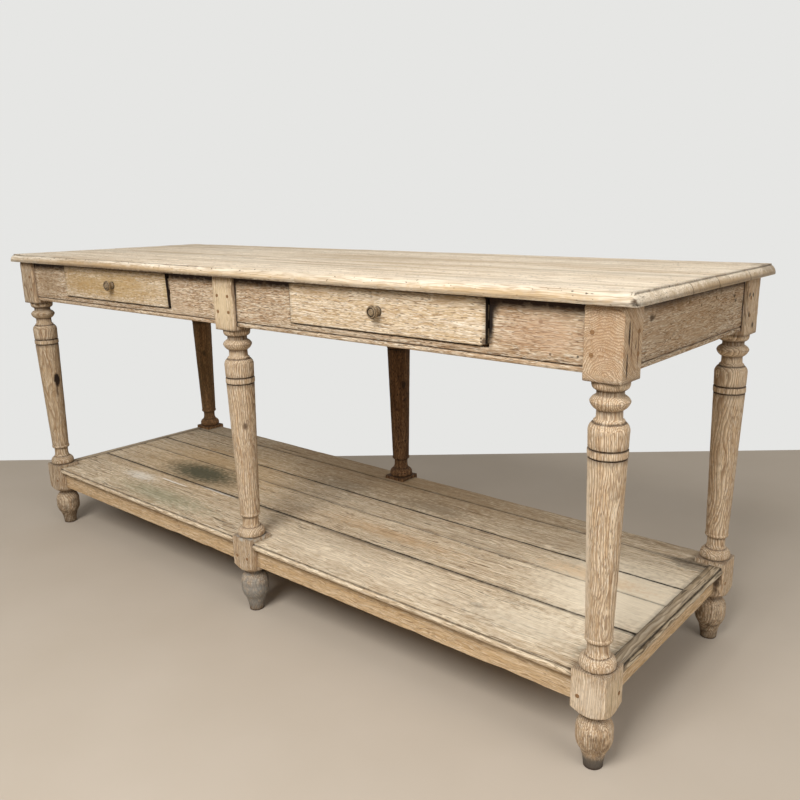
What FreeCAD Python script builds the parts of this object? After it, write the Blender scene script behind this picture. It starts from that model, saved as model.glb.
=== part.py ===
import FreeCAD, Part
import os
import re

import Sketcher

# Drapers table: a plank top on six turned legs, two drawers in the front aprons, a plank shelf below.
# Millimetres. The origin is on the floor under the middle of the top. +X runs along the table,
# +Z is up, and the drawers open towards -Y.

SIZES = {
    # Whole table
    "table_height": 854,
    "top_length": 2000,
    "top_depth": 665,
    # How far the leg centres stand in from the edges of the top
    "end_overhang": 60,
    "side_overhang": 50,
    # Top boards and their moulded edge
    "top_thickness": 22,
    "top_front_width": 214,
    "top_second_width": 123,
    "top_third_width": 165,
    "top_seam": 0.6,
    "edge_inset": 9,
    "edge_step": 3,
    "edge_flat": 3,
    "edge_round": 2.4,
    # Leg blank and its two square blocks
    "leg_block": 68,
    "upper_block_height": 122,
    "lower_block_height": 90,
    "shoulder_rise": 16,
    "shoulder_radius": 26,
    "shoulder_reach": 49,
    # Turned foot
    "foot_height": 110,
    "foot_tip_radius": 18,
    "foot_waist_radius": 25,
    "foot_waist_height": 36,
    "foot_hollow": 1.4,
    "bulb_radius": 33.4,
    "bulb_level": 70,
    "bulb_foot_round": 3.6,
    "bulb_head_round": 5.2,
    "foot_neck_radius": 20.5,
    "foot_neck_height": 7,
    # Turned base above the lower block
    "bell_foot_radius": 28.5,
    "bell_foot_round": 1.3,
    "bell_radius": 33,
    "bell_belly_height": 7.5,
    "bell_head_radius": 22.8,
    "bell_head_round": 3,
    "bell_height": 23.5,
    "bell_lip_radius": 22,
    "bell_lip_height": 2.8,
    "base_cove_height": 12,
    "base_cove_depth": 0.7,
    "base_neck_radius": 19.5,
    "base_neck_height": 13.2,
    "astragal_height": 8.5,
    "astragal_radius": 23.4,
    "astragal_round": 1.9,
    # Tapered shaft with its band
    "shaft_foot_radius": 24,
    "shaft_top_radius": 32.6,
    "line_width": 3,
    "line_depth": 3,
    "band_radius": 33.6,
    "band_height": 12,
    # Turned head under the upper block
    "cup_side_height": 24.5,
    "cup_foot_radius": 33,
    "cup_radius": 33.6,
    "cup_head_radius": 28,
    "cup_head_round": 2.3,
    "cup_head_height": 17,
    "cup_lip_radius": 25.5,
    "cup_lip_height": 3.8,
    "necking_cove_height": 3.4,
    "necking_cove_depth": 0.5,
    "necking_radius": 21.5,
    "necking_height": 13.6,
    "ring_radius": 33,
    "ring_foot_height": 13.7,
    "ring_foot_round": 1.8,
    "ring_head_height": 10.7,
    "ring_head_round": 1.5,
    "throat_radius": 22.5,
    "throat_height": 8.3,
    "collar_lip_radius": 25,
    "collar_round_height": 8.5,
    "collar_round": 1.4,
    "collar_radius": 31,
    "collar_height": 7,
    # Aprons
    "apron_height": 112,
    "apron_thickness": 22,
    "apron_setback": 9,
    "bead_height": 9.5,
    "quirk_depth": 3,
    "quirk_width": 2,
    "cross_rail_height": 90,
    # Mortise and tenon joints
    "tenon_thickness": 10,
    "apron_tenon_length": 30,
    "apron_tenon_edge": 12,
    "stretcher_tenon_length": 28,
    "stretcher_tenon_edge": 8,
    "peg_diameter": 8,
    "peg_slack": 0.1,
    "peg_length": 42,
    "peg_proud": 0.5,
    "peg_inset": 15,
    "lower_peg_height": 32,
    "upper_peg_height": 68,
    # Drawers
    "drawer_width": 497,
    "drawer_side_gap": 5,
    "drawer_foot_gap": 3,
    "drawer_head_gap": 3,
    "drawer_rail_height": 22,
    "drawer_proud": 4.5,
    "drawer_front_thickness": 20,
    "drawer_side_thickness": 12,
    "drawer_side_height": 79,
    "drawer_back_gap": 5,
    "drawer_back_height": 56,
    "drawer_bottom_thickness": 8,
    "drawer_bottom_raise": 8,
    "drawer_groove": 6,
    "sliding_gap": 0.3,
    "tail_length": 12,
    "tail_tip": 27,
    "tail_root": 20,
    "tail_pitch": 40,
    # Turned knob
    "knob_length": 20,
    "knob_radius": 13,
    "knob_rim": 6,
    "knob_rim_bulge": 1.6,
    "knob_neck_radius": 7.5,
    "knob_base_radius": 10,
    "knob_base_height": 3,
    "knob_ring_radius": 9.5,
    "knob_ring_width": 3,
    "knob_ring_depth": 2,
    "knob_spigot_radius": 5,
    "knob_spigot_length": 18,
    # Drawer runners and guides
    "runner_width": 45,
    "runner_height": 20,
    "guide_width": 20,
    "guide_height": 25,
    "guide_gap": 2.5,
    # Stretchers
    "stretcher_height": 50,
    "stretcher_thickness": 22,
    "stretcher_setback": 20.5,
    "shelf_drop": 8,
    # Shelf boards, and how far they reach beyond the leg centres
    "shelf_end_reach": 32,
    "shelf_side_reach": 28.5,
    "shelf_thickness": 17,
    "nosing_inset": 4.5,
    "nosing_step": 3.5,
    "shelf_cap_width": 31,
    "shelf_front_width": 181,
    "shelf_rear_width": 77,
    # The narrow middle board's part of the width left between the front and rear boards
    "shelf_third_share": 0.246,
    "shelf_seam": 1.5,
    "notch_gap": 1,
}

# Levels and lines that several pieces share, as formulas in the sizes above
UNDER_TOP = "(table_height - top_thickness)"
HEAD_LEVEL = f"({UNDER_TOP} - upper_block_height)"
LOWER_BLOCK_TOP = "(foot_height + lower_block_height)"
SHELF_LEVEL = f"({LOWER_BLOCK_TOP} - shelf_drop)"
STRETCHER_TOP = f"({SHELF_LEVEL} - shelf_thickness)"
STRETCHER_FOOT = f"({STRETCHER_TOP} - stretcher_height)"
APRON_FOOT = f"({UNDER_TOP} - apron_height)"
RUNNER_TOP = f"({APRON_FOOT} + drawer_rail_height)"
FRONT_LEGS = "(top_depth / 2 - side_overhang)"
END_LEGS = "(top_length / 2 - end_overhang)"
HALF_BLOCK = "(leg_block / 2)"
APRON_FACE = f"({FRONT_LEGS} + {HALF_BLOCK} - apron_setback)"
DRAWER_FACE = f"({APRON_FACE} + drawer_proud)"
DRAWER_CENTRE = f"({END_LEGS} / 2)"
BAY_LENGTH = f"({END_LEGS} - leg_block)"
END_BAY_LENGTH = f"(2 * {FRONT_LEGS} - leg_block)"
SHELF_END = f"({END_LEGS} + shelf_end_reach)"
SHELF_SIDE = f"({FRONT_LEGS} + shelf_side_reach)"
DECK_LENGTH = f"(2 * ({SHELF_END} - shelf_cap_width))"
DECK_FOOT = STRETCHER_TOP

# The four sides of the table, as the turn that brings the front to each of them
FRONT, RIGHT, REAR, LEFT = 0, 90, 180, 270
LEG_LINE_OF = {FRONT: FRONT_LEGS, REAR: FRONT_LEGS, LEFT: END_LEGS, RIGHT: END_LEGS}
APRON_FACE_OF = {side: f"({line} + {HALF_BLOCK} - apron_setback)" for side, line in LEG_LINE_OF.items()}

UP = FreeCAD.Vector(0, 0, 1)
INWARD = FreeCAD.Rotation(FreeCAD.Vector(1, 0, 0), -90)
OUTWARD = FreeCAD.Rotation(FreeCAD.Vector(1, 0, 0), 90)

doc = FreeCAD.newDocument("DrapersTable")
sheet = doc.addObject("Spreadsheet::Sheet", "Sizes")
for row, (alias, size) in enumerate(SIZES.items(), start=1):
    sheet.set(f"A{row}", alias)
    sheet.set(f"B{row}", str(size))
    sheet.setAlias(f"B{row}", alias)
doc.recompute()

nodes = []
leg_cuts = {}


# Binding sizes and places to the sheet


def formula(text):
    """Turn the size names in a formula into references to the sheet's cells."""
    return re.sub(
        r"[a-z_]+",
        lambda word: f"Sizes.{word.group()}" if word.group() in SIZES else word.group(),
        text,
    )


def value(text):
    """Work a formula out as a number."""
    return float(sheet.evalExpression(formula(text)))


def bind(item, **formulas):
    """Bind properties of an object to formulas."""
    for prop, text in formulas.items():
        item.setExpression(prop, formula(text))
    return item


def place(item, x="0", y="0", z="0", rotation=FreeCAD.Rotation()):
    """Turn an object and bind its position to formulas."""
    item.Placement = FreeCAD.Placement(FreeCAD.Vector(), rotation)
    for axis, text in zip("xyz", (x, y, z)):
        item.setExpression(f"Placement.Base.{axis}", formula(text))
    return item


def place_on_side(item, side, along, out, up, tilt=FreeCAD.Rotation()):
    """Place an object on a side of the table: along its face, out from the middle, up from the floor."""
    x, y = {
        FRONT: (along, f"-({out})"),
        RIGHT: (out, along),
        REAR: (f"-({along})", out),
        LEFT: (f"-({out})", f"-({along})"),
    }[side]
    return place(item, x, y, up, FreeCAD.Rotation(UP, side).multiply(tilt))


def keep(item, label):
    """Make an object a sub-part under its own label."""
    item.Label = label
    nodes.append(item)
    return item


# Ways of making a piece


def add(kind, name):
    """Add an object to the document."""
    return doc.addObject(kind, name)


def box(name, length, width, height):
    """A plain squared board."""
    return bind(add("Part::Box", name), Length=length, Width=width, Height=height)


def rod(name, radius, height):
    """A plain round rod or the hole for one."""
    return bind(add("Part::Cylinder", name), Radius=radius, Height=height)


def join(name, pieces):
    """One solid from several."""
    fuse = add("Part::MultiFuse", name)
    fuse.Shapes = pieces
    return fuse


def cut(name, base, tools):
    """A solid with others cut away from it."""
    result = add("Part::Cut", name)
    result.Base = base
    result.Tool = tools[0] if len(tools) == 1 else join(f"{name}_tools", tools)
    return result


def overlap(name, first, second):
    """The part that two solids have in common."""
    result = add("Part::Common", name)
    result.Base = first
    result.Tool = second
    return result


def group(name, pieces):
    """Separate solids of one kind, kept together."""
    compound = add("Part::Compound", name)
    compound.Links = pieces
    return compound


def new_body(name):
    """An empty body for sketches and features."""
    return add("PartDesign::Body", name)


def outline(body, name, plane, corners, raise_by="0"):
    """A closed sketch on one of the body's planes, drawn anticlockwise.

    Each corner is (across, up, bulge): two formulas for its place, and how far the edge that
    follows bows outwards, as the rise of an arc. A bulge of 0 is a straight edge, and a leading
    minus makes a hollow.
    """
    sketch = body.newObject("Sketcher::SketchObject", f"{body.Name}_{name}")
    support = next(item for item in body.Origin.OriginFeatures if item.Role == plane)
    sketch.AttachmentSupport = (support, [""])
    sketch.MapMode = "FlatFace"
    sketch.setExpression("AttachmentOffset.Base.z", formula(raise_by))

    points = [FreeCAD.Vector(value(across), value(up), 0) for across, up, bulge in corners]
    edges, ends, dimensions = [], [], []
    for i, (across, up, bulge) in enumerate(corners):
        following = (i + 1) % len(corners)
        start, end = points[i], points[following]
        if bulge == "0":
            edges.append(Part.LineSegment(start, end))
            ends.append((1, 2))
            continue
        chord = end - start
        rise = value(bulge) / chord.Length
        crown = (start + end) * 0.5 + FreeCAD.Vector(chord.y, -chord.x, 0) * rise
        edges.append(Part.Arc(start, crown, end) if rise > 0 else Part.Arc(end, crown, start))
        ends.append((1, 2) if rise > 0 else (2, 1))
        next_across, next_up, _ = corners[following]
        span = f"((({next_across}) - ({across})) ^ 2 + (({next_up}) - ({up})) ^ 2)"
        dimensions.append(("Radius", (i,), f"{span} / (8 * abs({bulge})) + abs({bulge}) / 2", f"radius_{i}"))

    constraints = []
    for i, (across, up, bulge) in enumerate(corners):
        following = (i + 1) % len(corners)
        first, last = ends[i]
        constraints.append(Sketcher.Constraint("Coincident", i, last, following, ends[following][0]))
        for kind, axis, text, label in (
            ("DistanceX", -2, across, f"across_{i}"),
            ("DistanceY", -1, up, f"up_{i}"),
        ):
            if text == "0":
                constraints.append(Sketcher.Constraint("PointOnObject", i, first, axis))
            else:
                dimensions.append((kind, (-1, 1, i, first), text, label))
    sketch.addGeometry(edges)
    named_from = len(constraints)
    constraints += [Sketcher.Constraint(kind, *where, value(text)) for kind, where, text, label in dimensions]
    sketch.addConstraint(constraints)
    for number, (kind, where, text, label) in enumerate(dimensions, start=named_from):
        sketch.renameConstraint(number, label)
        sketch.setExpression(f"Constraints.{label}", formula(text))
    return sketch


def rectangle(across, up, width, height):
    """The four corners of a rectangle from its lower left one."""
    right, head = f"{across} + {width}", f"{up} + {height}"
    return [(across, up, "0"), (right, up, "0"), (right, head, "0"), (across, head, "0")]


def pad(body, sketch, length):
    """Extrude a sketch along its plane's normal."""
    feature = body.newObject("PartDesign::Pad", f"{sketch.Name}_pad")
    feature.Profile = sketch
    return bind(feature, Length=length)


def turn(body, sketch, kind="PartDesign::Revolution"):
    """Turn a sketch about its upright axis, as on a lathe."""
    feature = body.newObject(kind, f"{sketch.Name}_turning")
    feature.Profile = sketch
    feature.ReferenceAxis = (sketch, ["V_Axis"])
    feature.Angle = 360
    return feature


def nosed_section(width, height, inset, step):
    """Section of a board whose outer edge has a step from above and a round nose below it.

    The tip of the nose is at 0 and the board reaches inwards to width.
    """
    return [
        (inset, "0", "0"),
        (width, "0", "0"),
        (width, height, "0"),
        (inset, height, "0"),
        (inset, f"{height} - {step}", inset),
    ]


# Legs


def leg_pattern():
    """The pattern of all six legs, turned from a square blank that keeps two blocks for the joints."""
    body = new_body("leg_pattern")

    neck_foot = "(foot_height - foot_neck_height)"
    bell_belly = f"({LOWER_BLOCK_TOP} + bell_belly_height)"
    bell_head = f"({LOWER_BLOCK_TOP} + bell_height)"
    lip_head = f"({bell_head} + bell_lip_height)"
    cove_head = f"({lip_head} + base_cove_height)"
    neck_head = f"({cove_head} + base_neck_height)"
    shaft_foot = f"({neck_head} + astragal_height)"
    collar_foot = f"({HEAD_LEVEL} - collar_height)"
    throat_head = f"({collar_foot} - collar_round_height)"
    throat_foot = f"({throat_head} - throat_height)"
    ring_edge = f"({throat_foot} - ring_head_height)"
    ring_foot = f"({ring_edge} - ring_foot_height)"
    necking_foot = f"({ring_foot} - necking_height)"
    cup_lip = f"({necking_foot} - necking_cove_height)"
    cup_head = f"({cup_lip} - cup_lip_height)"
    cup_belly = f"({cup_head} - cup_head_height)"
    cup_foot = f"({cup_belly} - cup_side_height)"
    band_head = f"({cup_foot} - line_width)"
    band_foot = f"({band_head} - band_height)"
    shaft_head = f"({band_foot} - line_width)"
    core_head = f"({HEAD_LEVEL} + {HALF_BLOCK})"

    profile = [
        ("0", "0", "0"),
        ("foot_tip_radius", "0", "-foot_hollow"),
        ("foot_waist_radius", "foot_waist_height", "bulb_foot_round"),
        ("bulb_radius", "bulb_level", "bulb_head_round"),
        ("foot_neck_radius", neck_foot, "0"),
        ("foot_neck_radius", LOWER_BLOCK_TOP, "0"),
        ("bell_foot_radius", LOWER_BLOCK_TOP, "bell_foot_round"),
        ("bell_radius", bell_belly, "bell_head_round"),
        ("bell_head_radius", bell_head, "0"),
        ("bell_lip_radius", bell_head, "0"),
        ("bell_lip_radius", lip_head, "-base_cove_depth"),
        ("base_neck_radius", cove_head, "0"),
        ("base_neck_radius", neck_head, "0"),
        ("astragal_radius", neck_head, "astragal_round"),
        ("shaft_foot_radius", shaft_foot, "0"),
        ("shaft_top_radius", shaft_head, "0"),
        ("shaft_top_radius - line_depth", shaft_head, "0"),
        ("shaft_top_radius - line_depth", band_foot, "0"),
        ("band_radius", band_foot, "0"),
        ("band_radius", band_head, "0"),
        ("cup_foot_radius - line_depth", band_head, "0"),
        ("cup_foot_radius - line_depth", cup_foot, "0"),
        ("cup_foot_radius", cup_foot, "0"),
        ("cup_radius", cup_belly, "cup_head_round"),
        ("cup_head_radius", cup_head, "0"),
        ("cup_lip_radius", cup_head, "0"),
        ("cup_lip_radius", cup_lip, "-necking_cove_depth"),
        ("necking_radius", necking_foot, "0"),
        ("necking_radius", ring_foot, "ring_foot_round"),
        ("ring_radius", ring_edge, "ring_head_round"),
        ("throat_radius", throat_foot, "0"),
        ("throat_radius", throat_head, "0"),
        ("collar_lip_radius", throat_head, "collar_round"),
        ("collar_radius", collar_foot, "0"),
        ("collar_radius", core_head, "0"),
        ("0", core_head, "0"),
    ]
    turn(body, outline(body, "profile", "XZ_Plane", profile))

    square = rectangle(f"-{HALF_BLOCK}", f"-{HALF_BLOCK}", "leg_block", "leg_block")
    pad(body, outline(body, "lower_block", "XY_Plane", square, "foot_height"), "lower_block_height")
    pad(body, outline(body, "upper_block", "XY_Plane", square, HEAD_LEVEL), "upper_block_height")

    # The lathe takes the lower corners of the lower block off to a cone
    shoulder_head = "foot_height + shoulder_rise"
    shoulder = [
        ("shoulder_radius", "foot_height", "0"),
        ("leg_block", "foot_height", "0"),
        ("leg_block", shoulder_head, "0"),
        ("shoulder_reach", shoulder_head, "0"),
    ]
    turn(body, outline(body, "shoulder", "XZ_Plane", shoulder), "PartDesign::Groove")
    return body


def leg(name, pattern, x, y):
    """One leg made to the pattern, with the mortises and peg holes that its boards need."""
    turning = add("App::Link", f"{name}_turning")
    turning.LinkedObject = pattern
    place(turning, x, y)
    return keep(cut(name, turning, leg_cuts[name]), name)


# Boards with tenons


def tenons(name, side, start, face, foot, length, legs, size):
    """The two tenons of a board, which are also the mortises in the legs at its ends."""
    thickness, reach, edge, height = size
    rise = f"{foot} + {edge}"
    tall = f"{height} - 2 * {edge}"
    out = f"{face} - ({thickness} - tenon_thickness) / 2"
    pieces = []
    for end, leg_name, along in (
        ("start", legs[0], f"{start} - {reach}"),
        ("finish", legs[1], f"{start} + {length}"),
    ):
        tenon = box(f"{name}_{end}_tenon", reach, "tenon_thickness", tall)
        place_on_side(tenon, side, along, out, rise)
        leg_cuts.setdefault(leg_name, []).append(tenon)
        pieces.append(tenon)
    return pieces


def pegs(name, side, start, length, levels, legs):
    """Pegs through the tenons of a board. Returns the peg solids and the holes for them."""
    solids, holes = [], []
    outer_face = f"({FRONT_LEGS if side in (FRONT, REAR) else END_LEGS} + {HALF_BLOCK})"
    for leg_name, along in ((legs[0], f"{start} - peg_inset"), (legs[1], f"{start} + {length} + peg_inset")):
        for i, level in enumerate(levels):
            hole = rod(f"{name}_{leg_name}_peg_hole_{i}", "peg_diameter / 2", "peg_length")
            place_on_side(hole, side, along, outer_face, level, INWARD)
            peg = rod(f"{name}_{leg_name}_peg_{i}", "peg_diameter / 2 - peg_slack", "peg_length + peg_proud")
            place_on_side(peg, side, along, f"{outer_face} + peg_proud", level, INWARD)
            leg_cuts[leg_name].append(hole)
            holes.append(hole)
            solids.append(peg)
    return solids, holes


def apron(name, side, start, length, legs, opening=None):
    """A beaded apron board, notched from above where it has a drawer."""
    body = place_on_side(new_body(f"{name}_board"), side, start, APRON_FACE_OF[side], APRON_FOOT)
    # The bead is at the foot of the outer face, and the quirk parts it from the flat above
    section = [
        ("quirk_depth", "0", "0"),
        ("apron_thickness", "0", "0"),
        ("apron_thickness", "apron_height", "0"),
        ("0", "apron_height", "0"),
        ("0", "bead_height + quirk_width", "0"),
        ("quirk_depth", "bead_height + quirk_width", "0"),
        ("quirk_depth", "bead_height", "quirk_depth"),
    ]
    pad(body, outline(body, "section", "YZ_Plane", section), length)
    if opening:
        width = "drawer_width + 2 * drawer_side_gap"
        corner = f"{opening} - {start} - ({width}) / 2"
        notch = rectangle(corner, "drawer_rail_height", width, "apron_height")
        pocket = body.newObject("PartDesign::Pocket", f"{name}_notch")
        pocket.Profile = outline(body, "notch", "XZ_Plane", notch)
        bind(pocket, Length="apron_thickness")
    size = ("apron_thickness", "apron_tenon_length", "apron_tenon_edge", "apron_height")
    ends = tenons(name, side, start, APRON_FACE_OF[side], APRON_FOOT, length, legs, size)
    levels = [f"{APRON_FOOT} + lower_peg_height", f"{APRON_FOOT} + upper_peg_height"]
    solids, holes = pegs(name, side, start, length, levels, legs)
    keep(cut(name, join(f"{name}_with_tenons", [body] + ends), holes), name)
    return solids


def stretcher(name, side, start, length, legs):
    """A plain stretcher under the shelf."""
    face = f"{LEG_LINE_OF[side]} + {HALF_BLOCK} - stretcher_setback"
    board = box(f"{name}_board", length, "stretcher_thickness", "stretcher_height")
    place_on_side(board, side, start, face, STRETCHER_FOOT)
    size = ("stretcher_thickness", "stretcher_tenon_length", "stretcher_tenon_edge", "stretcher_height")
    ends = tenons(name, side, start, face, STRETCHER_FOOT, length, legs, size)
    levels = [f"{STRETCHER_FOOT} + stretcher_height / 2"]
    solids, holes = pegs(name, side, start, length, levels, legs)
    keep(cut(name, join(f"{name}_with_tenons", [board] + ends), holes), name)
    return solids


def middle_rail(name, kind, foot, height):
    """A board between the two middle legs, across the table, jointed like the aprons or stretchers."""
    legs = ("front_middle_leg", "rear_middle_leg")
    start = f"-{END_BAY_LENGTH} / 2"
    face = f"{kind}_thickness / 2"
    board = box(f"{name}_board", END_BAY_LENGTH, f"{kind}_thickness", height)
    place_on_side(board, RIGHT, start, face, foot)
    size = (f"{kind}_thickness", f"{kind}_tenon_length", f"{kind}_tenon_edge", height)
    ends = tenons(name, RIGHT, start, face, foot, END_BAY_LENGTH, legs, size)
    return keep(join(name, [board] + ends), name)


# Top


def top():
    """Four boards, cut from one moulded outline so that their edges run round the corners."""
    solids = []
    round_head = "top_thickness - edge_step"
    for name, plane, width, length in (
        ("lengthwise", "YZ_Plane", "top_depth", "top_length"),
        ("crosswise", "XZ_Plane", "top_length", "top_depth"),
    ):
        body = new_body(f"top_{name}")
        # Each edge rises flat from the underside, rounds over inwards and steps up to the top
        section = [
            (f"-{width} / 2", "0", "0"),
            (f"{width} / 2", "0", "0"),
            (f"{width} / 2", "edge_flat", "edge_round"),
            (f"{width} / 2 - edge_inset", round_head, "0"),
            (f"{width} / 2 - edge_inset", "top_thickness", "0"),
            (f"-{width} / 2 + edge_inset", "top_thickness", "0"),
            (f"-{width} / 2 + edge_inset", round_head, "edge_round"),
            (f"-{width} / 2", "edge_flat", "0"),
        ]
        feature = pad(body, outline(body, "section", plane, section), length)
        feature.Midplane = True
        solids.append(place(body, z=UNDER_TOP))
    moulded = overlap("top_moulded", *solids)

    edge = "-top_depth / 2"
    widths = {
        "front": "top_front_width",
        "second": "top_second_width",
        "third": "top_third_width",
        "rear": "top_depth - top_front_width - top_second_width - top_third_width",
    }
    for name, width in widths.items():
        near_gap = "0" if name == "front" else "top_seam / 2"
        far_gap = "0" if name == "rear" else "top_seam / 2"
        board = box(f"top_{name}_blank", "top_length", f"{width} - {near_gap} - {far_gap}", "top_thickness")
        place(board, "-top_length / 2", f"{edge} + {near_gap}", UNDER_TOP)
        keep(overlap(f"top_{name}_board", moulded, board), f"top_{name}_board")
        edge = f"{edge} + {width}"


# Drawers


def drawer(name, centre):
    """A drawer on two runners, with dovetailed sides, a grooved bottom and a turned knob."""
    half = "drawer_width / 2"
    face = f"-{DRAWER_FACE}"
    inner_face = f"({face} + drawer_front_thickness)"
    front_foot = f"({RUNNER_TOP} + drawer_foot_gap)"
    front_height = f"{UNDER_TOP} - drawer_head_gap - {front_foot}"
    box_foot = f"({RUNNER_TOP} + sliding_gap)"
    back_face = f"({APRON_FACE} - apron_thickness - drawer_back_gap)"
    bottom_foot = f"({box_foot} + drawer_bottom_raise)"
    side_length = f"{back_face} - {inner_face}"

    bottom = box(
        f"{name}_bottom",
        "drawer_width - 2 * drawer_side_thickness + 2 * drawer_groove",
        f"{side_length} + drawer_groove",
        "drawer_bottom_thickness",
    )
    inset = f"{half} - drawer_side_thickness + drawer_groove"
    place(bottom, f"{centre} - ({inset})", f"{inner_face} - drawer_groove", bottom_foot)

    sides = []
    for hand, offset in (("left", f"-{half}"), ("right", f"{half} - drawer_side_thickness")):
        body = new_body(f"{name}_{hand}_side_board")
        place(body, f"{centre} + {offset}", f"{inner_face} - tail_length", box_foot)
        pad(body, outline(body, "outline", "YZ_Plane", side_outline(side_length)), "drawer_side_thickness")
        sides.append(body)
        keep(cut(f"{name}_{hand}_side", body, [bottom]), f"{name}_{hand}_side")

    inner_width = "drawer_width - 2 * drawer_side_thickness"
    back = box(f"{name}_back", inner_width, "drawer_side_thickness", "drawer_back_height")
    place(
        back,
        f"{centre} - {half} + drawer_side_thickness",
        f"{back_face} - drawer_side_thickness",
        f"{bottom_foot} + drawer_bottom_thickness",
    )

    knob_level = f"{front_foot} + ({front_height}) / 2"
    knob_hole = rod(f"{name}_knob_hole", "knob_spigot_radius + peg_slack", "drawer_front_thickness")
    place(knob_hole, centre, face, knob_level, INWARD)
    blank = box(f"{name}_front_blank", "drawer_width", "drawer_front_thickness", front_height)
    place(blank, f"{centre} - {half}", face, front_foot)
    keep(cut(f"{name}_front", blank, sides + [bottom, knob_hole]), f"{name}_front")
    keep(back, f"{name}_back")
    keep(bottom, f"{name}_bottom")

    knob = place(new_body(f"{name}_knob"), centre, face, knob_level, OUTWARD)
    turn(knob, outline(knob, "profile", "XZ_Plane", knob_profile()))
    keep(knob, f"{name}_knob")


def side_outline(length):
    """Outline of a drawer side, with two dovetails at its front end."""
    points = [
        ("tail_length", "0", "0"),
        (f"tail_length + {length}", "0", "0"),
        (f"tail_length + {length}", "drawer_side_height", "0"),
        ("tail_length", "drawer_side_height", "0"),
    ]
    for offset in ("+ tail_pitch / 2", "- tail_pitch / 2"):
        middle = f"drawer_side_height / 2 {offset}"
        points += [
            ("tail_length", f"{middle} + tail_root / 2", "0"),
            ("0", f"{middle} + tail_tip / 2", "0"),
            ("0", f"{middle} - tail_tip / 2", "0"),
            ("tail_length", f"{middle} - tail_root / 2", "0"),
        ]
    return points


def knob_profile():
    """Half section of a knob: spigot, base, waisted neck, rounded rim and a ringed face."""
    rim_foot = "knob_length - knob_rim"
    groove_edge = "knob_ring_radius - knob_ring_width"
    groove_foot = "knob_length - knob_ring_depth"
    return [
        ("0", "-knob_spigot_length", "0"),
        ("knob_spigot_radius", "-knob_spigot_length", "0"),
        ("knob_spigot_radius", "0", "0"),
        ("knob_base_radius", "0", "0"),
        ("knob_base_radius", "knob_base_height", "0"),
        ("knob_neck_radius", f"(knob_base_height + {rim_foot}) / 2", "0"),
        ("knob_radius", rim_foot, "knob_rim_bulge"),
        ("knob_ring_radius", "knob_length", "0"),
        ("knob_ring_radius", groove_foot, "0"),
        (groove_edge, groove_foot, "0"),
        (groove_edge, "knob_length", "0"),
        ("0", "knob_length", "0"),
    ]


def runners(name, centre):
    """A runner and a guide strip under and beside each side of a drawer, from apron to apron."""
    half = "drawer_width / 2"
    inner = f"{APRON_FACE} - apron_thickness"
    guide_face = f"({half} + guide_gap)"
    runner_out = f"({guide_face} + guide_width)"
    for hand, runner_at, guide_at in (
        ("left", f"-{runner_out}", f"-{runner_out}"),
        ("right", f"{runner_out} - runner_width", guide_face),
    ):
        runner = box(f"{name}_{hand}_runner", "runner_width", f"2 * ({inner})", "runner_height")
        place(runner, f"{centre} + {runner_at}", f"-({inner})", f"{RUNNER_TOP} - runner_height")
        keep(runner, f"{name}_{hand}_runner")
        guide = box(f"{name}_{hand}_guide", "guide_width", f"2 * ({inner})", "guide_height")
        place(guide, f"{centre} + {guide_at}", f"-({inner})", RUNNER_TOP)
        keep(guide, f"{name}_{hand}_guide")


# Shelf


def shelf():
    """Five lengthwise boards notched round the legs, between two moulded end caps."""
    notches = []
    for row, y in (("front", f"-{FRONT_LEGS}"), ("rear", FRONT_LEGS)):
        for column, x in (("left", f"-{END_LEGS}"), ("middle", "0"), ("right", END_LEGS)):
            side = "leg_block + 2 * notch_gap"
            notch = box(f"shelf_{row}_{column}_notch", side, side, "shelf_thickness")
            place(notch, f"{x} - {HALF_BLOCK} - notch_gap", f"{y} - {HALF_BLOCK} - notch_gap", DECK_FOOT)
            notches.append(notch)

    for name, side, width in (("front", FRONT, "shelf_front_width"), ("rear", REAR, "shelf_rear_width")):
        body = new_body(f"shelf_{name}_plank")
        place_on_side(body, side, f"-{DECK_LENGTH} / 2", SHELF_SIDE, DECK_FOOT)
        section = nosed_section(f"{width} - shelf_seam / 2", "shelf_thickness", "nosing_inset", "nosing_step")
        pad(body, outline(body, "section", "YZ_Plane", section), DECK_LENGTH)
        tools = [notch for notch in notches if f"shelf_{name}" in notch.Name]
        keep(cut(f"shelf_{name}_board", body, tools), f"shelf_{name}_board")

    between = f"(2 * {SHELF_SIDE} - shelf_front_width - shelf_rear_width)"
    third_width = f"{between} * shelf_third_share"
    side_width = f"{between} * (1 - shelf_third_share) / 2"
    edge = f"-{SHELF_SIDE} + shelf_front_width"
    for name, width in (("second", side_width), ("third", third_width), ("fourth", side_width)):
        board = box(f"shelf_{name}_board", DECK_LENGTH, f"{width} - shelf_seam", "shelf_thickness")
        place(board, f"-{DECK_LENGTH} / 2", f"{edge} + shelf_seam / 2", DECK_FOOT)
        keep(board, f"shelf_{name}_board")
        edge = f"{edge} + {width}"

    cap_length = f"({END_BAY_LENGTH} - 2 * notch_gap)"
    for name, side in (("left", LEFT), ("right", RIGHT)):
        body = new_body(f"shelf_{name}_end_cap")
        place_on_side(body, side, f"-{cap_length} / 2", SHELF_END, DECK_FOOT)
        section = nosed_section("shelf_cap_width", "shelf_thickness", "nosing_inset", "nosing_step")
        pad(body, outline(body, "section", "YZ_Plane", section), cap_length)
        keep(body, f"shelf_{name}_end_cap")


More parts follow.
